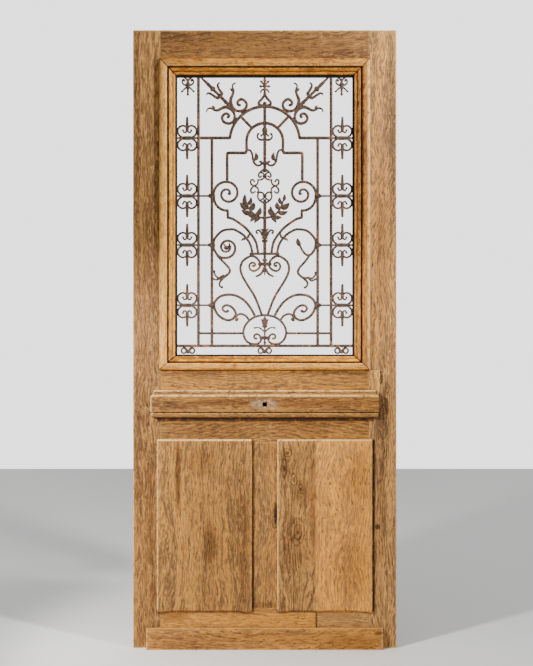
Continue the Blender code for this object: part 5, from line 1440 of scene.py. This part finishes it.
lower_flame = through([(212, 888), (208, 898), (196, 902), (183, 895), (171, 894), (155, 902), (141, 906),
                       (124, 899), (113, 886), (109, 869), (113, 855), (124, 847), (136, 846), (150, 853),
                       (155, 867), (148, 879), (138, 882), (130, 875), (134, 868)], 1.4)
FLAME_TAPER = (0.4, 0.85, 1.25, 1, 1, 1, 0.95)
spear += [carried(upper_flame, 7.9, 9.8, FLAME_TAPER, seed=23), knob(91, 913, 4.6, 4.6, 5),
          carried(lower_flame, 7.9, 10.1, FLAME_TAPER, seed=25), knob(133, 869, 4.6, 4.6, 5),
          leaf((116, 961), (127, 974), 9, 6, 0.1, 1), leaf((183, 895), (192, 912), 9, 6, 0.1, 1),
          rod([(88, 892), (77, 879)], 6.4, 8.4), rod([(113, 868), (98, 861)], 6.4, 8.2)]
iron_pair("corner_spear", spear)

PENDANT_X = 279.4
drop = [rod([(0, 1009), (0, 989), (0, 975), (0, 950)], 6.2, 9, (0.9, 1.3, 1.1, 0.6)),
        knob(0, 990, 7, 5, 5.4),
        rod(line_pair([(0, 1001), (6, 1008), (12, 1014)]), 5, 6.2),
        curl(line_pair([(0, 985), (10, 986), (19, 993), (20, 1003), (15, 1007), (12, 1001)]), 4.8, 7.2),
        rod(line_pair([(0, 979), (10, 974), (21, 963)]), 5.6, 6.7, (0.6, 1, 0.6)), knob(0, 952, 4, 5, 4.2)]
drop += both([knob(13, 1002, 3.4, 3.4, 4.2), knob(21, 963, 3.6, 3.6, 3.6)])
iron_pair("pendant", moved(drop, PENDANT_X, 0))

# %% [markdown]
# The side strips repeat one cartouche four times: four small C-scrolls back to back on a band,
# with a spear up and down. Repeats are drawn once on the sheet and moved.

# %% Cartouches and foot scrolls
CARTOUCHE_X = 282
CARTOUCHE_ZS = (792.4, 580.6, 401.1, 180.9)
lobe = rod([(1, 40), (6, 42), (11, 44.6), (17, 45.2), (26, 41.8), (32.4, 34), (34.6, 26), (32.4, 16),
            (27, 8.6), (20, 4)],
           5.8, 8, (0.9, 1, 1, 1), seed=27)
anchor = curl([(1, 31), (3.6, 23.6), (8.4, 20.6), (13, 22.4), (15.4, 27.6)], 5, 6.8, (1.1, 1, 0.8))
half = both([lobe, anchor, knob(15, 28.6, 3.5, 3.5, 3.8)])
half += [rod([(0, 24), (0, 38), (0, 52), (0, 66), (0, 76)], 7.4, 7.4, (1.1, 1.4, 1.1, 1.0, 0.85)),
         knob(0, 74, 3.4, 3.4, 3.8)]
turned_half = [((x, y, -z), faces) for (x, y, z), faces in half]
ties = [straight((OUTER_X - CARTOUCHE_X + 3, 0), (EDGE_X - CARTOUCHE_X - 1, 0), 5, 5.4),
        knob(31, 0, 3.6, 3.6, 4), knob(-31, 0, 3.6, 3.6, 4),
        rod([(-24, 0), (-15, 0), (0, 0), (15, 0), (24, 0)], 10.6, 9.2, (0.55, 1, 1, 1, 0.55), corner=0.3),
        rod([(-12, 0), (12, 0)], 7, 10.4, corner=0.3)]
for number, z in enumerate(CARTOUCHE_ZS, 1):
    parts = moved(half + turned_half + ties, CARTOUCHE_X, z)
    iron(f"cartouche_right_{number}", parts)
    iron(f"cartouche_left_{number}", mirror(parts))

ring_pair = both([carried(spiral((14.4, 14.2), 11.4, 7.4, 200, -235), 5, 7.4),
                  knob(9.6, 20.6, 3.4, 3.4, 3.9)])
foot = ring_pair + [rod([(-4, 14.2), (4, 14.2)], 7, 6.8), knob(0, 8, 4.4, 4, 4)]
for place, x in (("left", -279), ("centre", 0), ("right", 279)):
    iron("foot_scroll_" + place, moved(foot, x, 0))

# %% [markdown]
# The wreath hangs from the spindle's foot: small C-scrolls joined tip to tip round an open
# middle. It was riveted up from short curls, so each is its own bar here too.

# %% Wreath
VIEW_MIDDLE, VIEW_TOP = 264.4, 76.24
PER_STEP_X, PER_STEP_Z = 3.621, 3.6442


def from_view(points):
    """Points measured on a straight front view of the grille, turned into the sheet's units."""
    return [((x - VIEW_MIDDLE) * PER_STEP_X, SHEET_Z - (down - VIEW_TOP) * PER_STEP_Z)
            for x, down in points]


wreath = []
for points in ([(264.6, 167.9), (261.2, 170.3), (258.8, 172.8), (258.1, 175.2), (259.5, 176.8),
                (260.8, 175.6)],
               [(260.6, 171.8), (262.9, 172.9), (264.3, 175.6), (262.8, 178), (260.3, 179.2),
                (257.6, 179.3)],
               [(257.5, 179.1), (257.6, 181.5), (256.3, 184), (253.6, 185.2)],
               [(253.6, 185.2), (251.2, 184), (250.2, 181.5), (251, 179.4), (252.9, 179.2), (253.9, 180.9)],
               [(253.6, 185.2), (251, 188), (250.4, 190.5), (252, 192.6), (254.5, 191.2)],
               [(253.8, 185.4), (256.8, 187), (257.9, 189.4), (257.4, 192)],
               [(257.4, 191.6), (261.3, 191.9), (263.6, 194), (264.3, 196), (263, 197.9), (260.3, 199.6)],
               [(258.4, 192.3), (257.4, 194.6), (257.6, 197.2), (259.2, 199.8), (262, 201.7),
                (264.6, 204.2)]):
    wreath += hooked(from_view(points), 5.2, 7.6, 29)
wreath = both(wreath)
wreath += [rod([(0, 694), (0, 676)], 9, 8.2), rod([(0, 566), (0, 546)], 9, 8.6),
           knob(0, 672, 7, 5, 5.4), knob(0, 654, 6.5, 6, 5.6), knob(0, 581, 6, 6, 5.6)]
iron("wreath", wreath)

# %% [markdown]
# Under it rises the bouquet: a stem, two branches with leaves, and a curled crown where they
# spring. The leaves were cut from sheet, dished and bent aside, and no two are alike.

# %% Bouquet and vase bar
VASE_Z = 369.1
LEFT_BRANCH = ((264.5, 217.7), (258.5, 216.5), (252, 212), (247.6, 206), (245, 199))
LEFT_LEAVES = (((245.8, 202), (244.6, 193.6), 11, 0.1), ((246, 204.6), (250.6, 196.4), 13, -0.2),
               ((248.2, 208.4), (239.4, 202), 16, 0.12), ((249, 209.6), (253.6, 202), 19, -0.12),
               ((251.6, 212.6), (241, 209.6), 17, 0.12), ((254.4, 215), (260, 207), 16, -0.2),
               ((258, 216.4), (249.6, 221.4), 14, -0.12), ((260.4, 217.2), (253.6, 223), 11, -0.1),
               ((247.6, 206.8), (242.6, 197.4), 14, 0.1), ((256, 215.4), (246.4, 213.6), 13, 0.1))
RIGHT_BRANCH = ((264.5, 217.7), (270.6, 216.2), (276.4, 212.6), (280.6, 206.6), (283.4, 199))
RIGHT_LEAVES = (((283, 201), (284, 193.6), 11, -0.1), ((282, 203.6), (279.6, 196.6), 12, 0.2),
                ((280, 207.4), (289, 202.6), 19, -0.14), ((279, 209), (276.6, 201.8), 16, 0.12),
                ((277, 211.8), (287.6, 211.2), 15, -0.12), ((274.6, 214), (270.4, 205.6), 14, 0.2),
                ((272.6, 215.6), (281.6, 216.8), 14, -0.1), ((270.6, 216.6), (276, 222.6), 12, 0.1),
                ((274, 214.6), (267.8, 208.6), 11, 0.2))
bouquet = [straight((0, 548), (0, VASE_Z - 3), 9.4, 9.2, seed=31, **BAR)]
for branch, leaves in ((LEFT_BRANCH, LEFT_LEAVES), (RIGHT_BRANCH, RIGHT_LEAVES)):
    bouquet.append(rod(from_view(branch), 5.4, 7, (1.2, 1, 0.9)))
    for number, (base, tip, width, bend) in enumerate(leaves):
        bouquet.append(leaf(*from_view((base, tip)), width, 5.2 + 0.2 * (number % 3), bend, 2.5))
bouquet += [curl(line_pair([(0, 430), (9, 437), (15, 449), (23, 456), (31, 451), (29, 444)]), 6, 7.6),
            knob(0, 444, 10, 12, 6.2),
            rod([(-10, 427), (10, 427)], 5, 9.6), knob(0, 416, 9, 7, 6.6), knob(0, 501, 7, 6, 6)]
bouquet += both([knob(28, 445, 4, 4, 4.6), leaf((4, 440), (17, 462), 8, 5, 0.2, 2)])
iron("bouquet", bouquet)
iron("vase_bar", [straight((-54, VASE_Z), (52, VASE_Z), 6.6, 12.8, seed=33, **BAR)])

# %% [markdown]
# The big volutes carry the eye outwards. Each is collared to the inner upright, and its other arm
# runs down to the vase bar in one long bow.

# %% Console scrolls
EYE, EYE_R = (135.6, 589), 50.2


def collar_and_tie(z):
    """A collar wrapped round the inner upright, with a tie across to the outer one."""
    return [rod([(INNER_X - 8.4, z), (INNER_X + 8.4, z)], 12, 14.6, corner=0.22, rough=0.02),
            straight((INNER_X + 8, z), (OUTER_X - 3, z), 5.2, 9, seed=35),
            knob(INNER_X + 12, z, 4.4, 4.4, 5.4)]


console = [carried(spiral(EYE, EYE_R, 8, 0, 540), 7.4, 9.8, (1, 1, 0.95, 0.85), seed=37),
           knob(EYE[0] - 7, EYE[1], 5.6, 5.6, 5.8),
           rod([(186, 596), (186, 584), (184, 568), (178, 551), (166, 537), (150, 529), (137, 527)],
               7.5, 9.9, seed=39),
           rod([(136, 530), (134.5, 524), (134.5, 506), (134, 499)], 7.4, 10.3),
           rod([(136, 502.5), (124, 499), (113, 495), (89, 479), (69, 463), (55, 447), (41, 428), (31, 408),
                (25, 377), (25, VASE_Z + 2)],
               7.4, 9.9, seed=41)]
iron_pair("console", console + collar_and_tie(CARTOUCHE_ZS[1]))

# %% [markdown]
# Below them the two sides differ: on the left the mid scroll is whole, rolled round a rosette; on
# the right its roll has broken off, and a short stub with a bud is all that is left. The break is
# part of this door's history, so it stays.

# %% Mid scrolls
def hanging_tail(bow, upper, lower, rise, seed):
    """The bow that hangs from a mid scroll, and its two twigs, each with a knob a little above its end."""
    return [rod(bow, 6.8, 9.4, (1, 1, 1, 0.8), seed=seed), knob(bow[-1][0], bow[-1][1] + 1, 4.6, 4.6, 5),
            rod(upper, 5.4, 7.4, (1, 1.3, 1, 0.9)), rod(lower, 5.0, 6.8, (1.2, 1, 1.1, 0.8)),
            knob(upper[-1][0], upper[-1][1] + rise, 4.4, 4.4, 4.4),
            knob(lower[-1][0], lower[-1][1] + rise, 4.2, 4, 4)]


mid_arc = [rod([(186, 400), (184, 419), (174, 435), (160, 449), (146, 456), (131, 458), (113, 458),
                (94, 449), (78, 438), (67, 426), (57, 412), (50, 396), (45, VASE_Z + 3)], 7, 9.9, seed=43),
           leaf((66, 424), (86, 416), 8, 7, 0.15, 1), leaf((65, 424), (57, 445), 8, 6.8, 0.1, 1)]
roll = through([(186, 398), (184, 385), (174, 368), (160, 356.5), (143, 354), (126, 358), (113, 370),
                (107.6, 386), (110, 402), (121, 413), (136, 417), (150, 411.5), (158.5, 399), (157, 386),
                (148, 377.6), (137, 377), (127, 384), (125, 395)], 1.4)
whole = [carried(roll, 7, 9.6, (1, 1, 1, 0.8), seed=45), knob(139, 391, 8, 8, 5.8),
         knob(126, 396, 4.4, 4.4, 5),
         leaf((133, 397), (128, 410), 6, 5.6, 0.2, 1), leaf((144, 396), (152, 404), 6, 5.4, 0.2, 1)]
tail_left = hanging_tail(
    [(177, 370), (169, 359), (159, 348), (146, 335), (134, 322), (127, 310), (130, 298), (142, 288),
     (157, 274), (164, 262), (163, 251), (156, 246)],
    [(142, 285), (151, 289), (165, 281), (173, 283), (180, 292), (184, 304)],
    [(147, 284), (162, 278), (176, 274), (187, 276)], 1, 47)
stub = [rod([(186, 402), (181, 385), (172, 371), (161, 364), (149, 367), (137, 381), (128, 399),
             (123, 412)],
            7, 9.6, (1, 1, 0.9, 0.8)),
        leaf((129, 396), (118, 426), 15, 9, 0.06, 1), knob(124, 410, 5.2, 6, 5)]
tail_right = hanging_tail(
    [(165, 367), (155, 352), (145, 339), (136, 329), (126, 317), (120, 302), (127, 291), (139, 281),
     (152, 269), (156, 259), (152, 250), (147, 245)],
    [(139, 283), (148, 280), (158, 282), (166, 279.5), (174, 280), (183, 291), (185, 300)],
    [(157, 281), (163, 275), (169, 270.6), (176, 271.7), (184, 276)], 0, 49)
collar = collar_and_tie(CARTOUCHE_ZS[2])
iron("mid_scroll_left", mirror(mid_arc + whole + tail_left + collar))
iron("mid_scroll_right", mid_arc + stub + tail_right + collar)

# %% [markdown]
# At the foot everything springs from a ring: two bars curl round a bud, the lyre's long bars rise
# from it to the heart collar, and the lower scrolls roll out to the uprights.

# %% Lyre, heart collar, ring and lower scrolls
lyre = [rod([(40, 323), (34, 329), (39, 336), (50, 335), (56, 326), (54, 314), (43, 306), (29, 310),
             (19, 319), (15.5, 330), (20, 342), (31, 355), (48, 361), (67, 353), (82, 339), (88.5, 317),
             (84, 295), (74, 274), (57, 246), (40, 219), (28, 193), (18, 166), (11, 147)], 7, 9.9,
            (0.8, 0.9, 1, 1, 1, 1), seed=51), knob(41, 325, 4.8, 4.8, 5.2)]
iron_pair("lyre", lyre)

heart_collar = [rod([(-22, 331.5), (22, 331.5)], 9.4, 14.6, corner=0.25),
                rod([(0, VASE_Z - 3), (0, 312), (0, 291)], 7.6, 9.4, (1, 1, 1, 0.4)), knob(0, 346, 7, 6, 6)]
heart_collar += both([rod([(1, 319), (8, 304), (17, 293), (29, 287)], 6, 7.4, (1.2, 1.1, 0.9)),
                      knob(29, 287, 3.8, 3.8, 4)])
iron("heart_collar", heart_collar)

loop = through([(1, 145), (22, 142), (40, 136), (57, 124), (70, 108), (77, 90), (77, 74), (71, 57),
                (60, 45), (47, 39.5), (33, 39), (21, 43), (14, 52), (15, 64), (22, 73), (31, 75), (38, 70),
                (38, 62), (31, 58)], 1.4)
ring = [carried(loop, 6.6, 9, (1, 1, 1, 0.85), seed=53), knob(32, 59, 4.6, 4.6, 4.8),
        curl([(1, 84), (14, 95), (26, 100), (36, 98)], 4.4, 6, (1, 1, 0.7)), knob(36, 98, 3.6, 3.6, 3.4)]
bud = [leaf((0, 100), (0, 141), 17, 12, 0, 0), leaf((-2, 102), (-13, 130), 14, 9, -0.16, 2),
       leaf((2, 102), (13, 130), 14, 9, 0.16, 2), knob(0, 103, 8, 5, 6),
       rod([(-17, 61.5), (17, 61.5)], 9.6, 12.4, corner=0.3), rod([(0, CROSS_Z + 2), (0, 104)], 5, 6.8),
       leaf((0, 52), (0, 36), 9, 8)]
iron("ring_bottom", both(ring) + bud)

scroll = through([(37, 144), (44, 158), (52, 171), (69, 193), (92, 210), (113, 218), (135, 219.5),
                  (157, 215), (174, 203), (184, 185), (180, 163), (168, 144), (150, 131), (131, 126),
                  (114, 133), (105.5, 148), (111, 164), (123, 176), (138, 181), (150, 176.5), (153, 166),
                  (144, 157), (134, 158)], 1.4)
lower = [carried(scroll, 7.4, 9.9, (1, 1, 1, 1, 0.85), seed=55), knob(135, 160, 5, 5, 5.2),
         rod([(56, 125), (69, 142), (86, 149), (99, 145), (104, 136), (100, 129)],
             6.4, 9.2, (1, 1, 1, 1.1), seed=57),
         knob(100, 130, 4.8, 4.8, 5), knob(103, 127, 5.6, 5.2, 5)]
iron_pair("lower_scroll", lower + collar_and_tie(CARTOUCHE_ZS[3]))
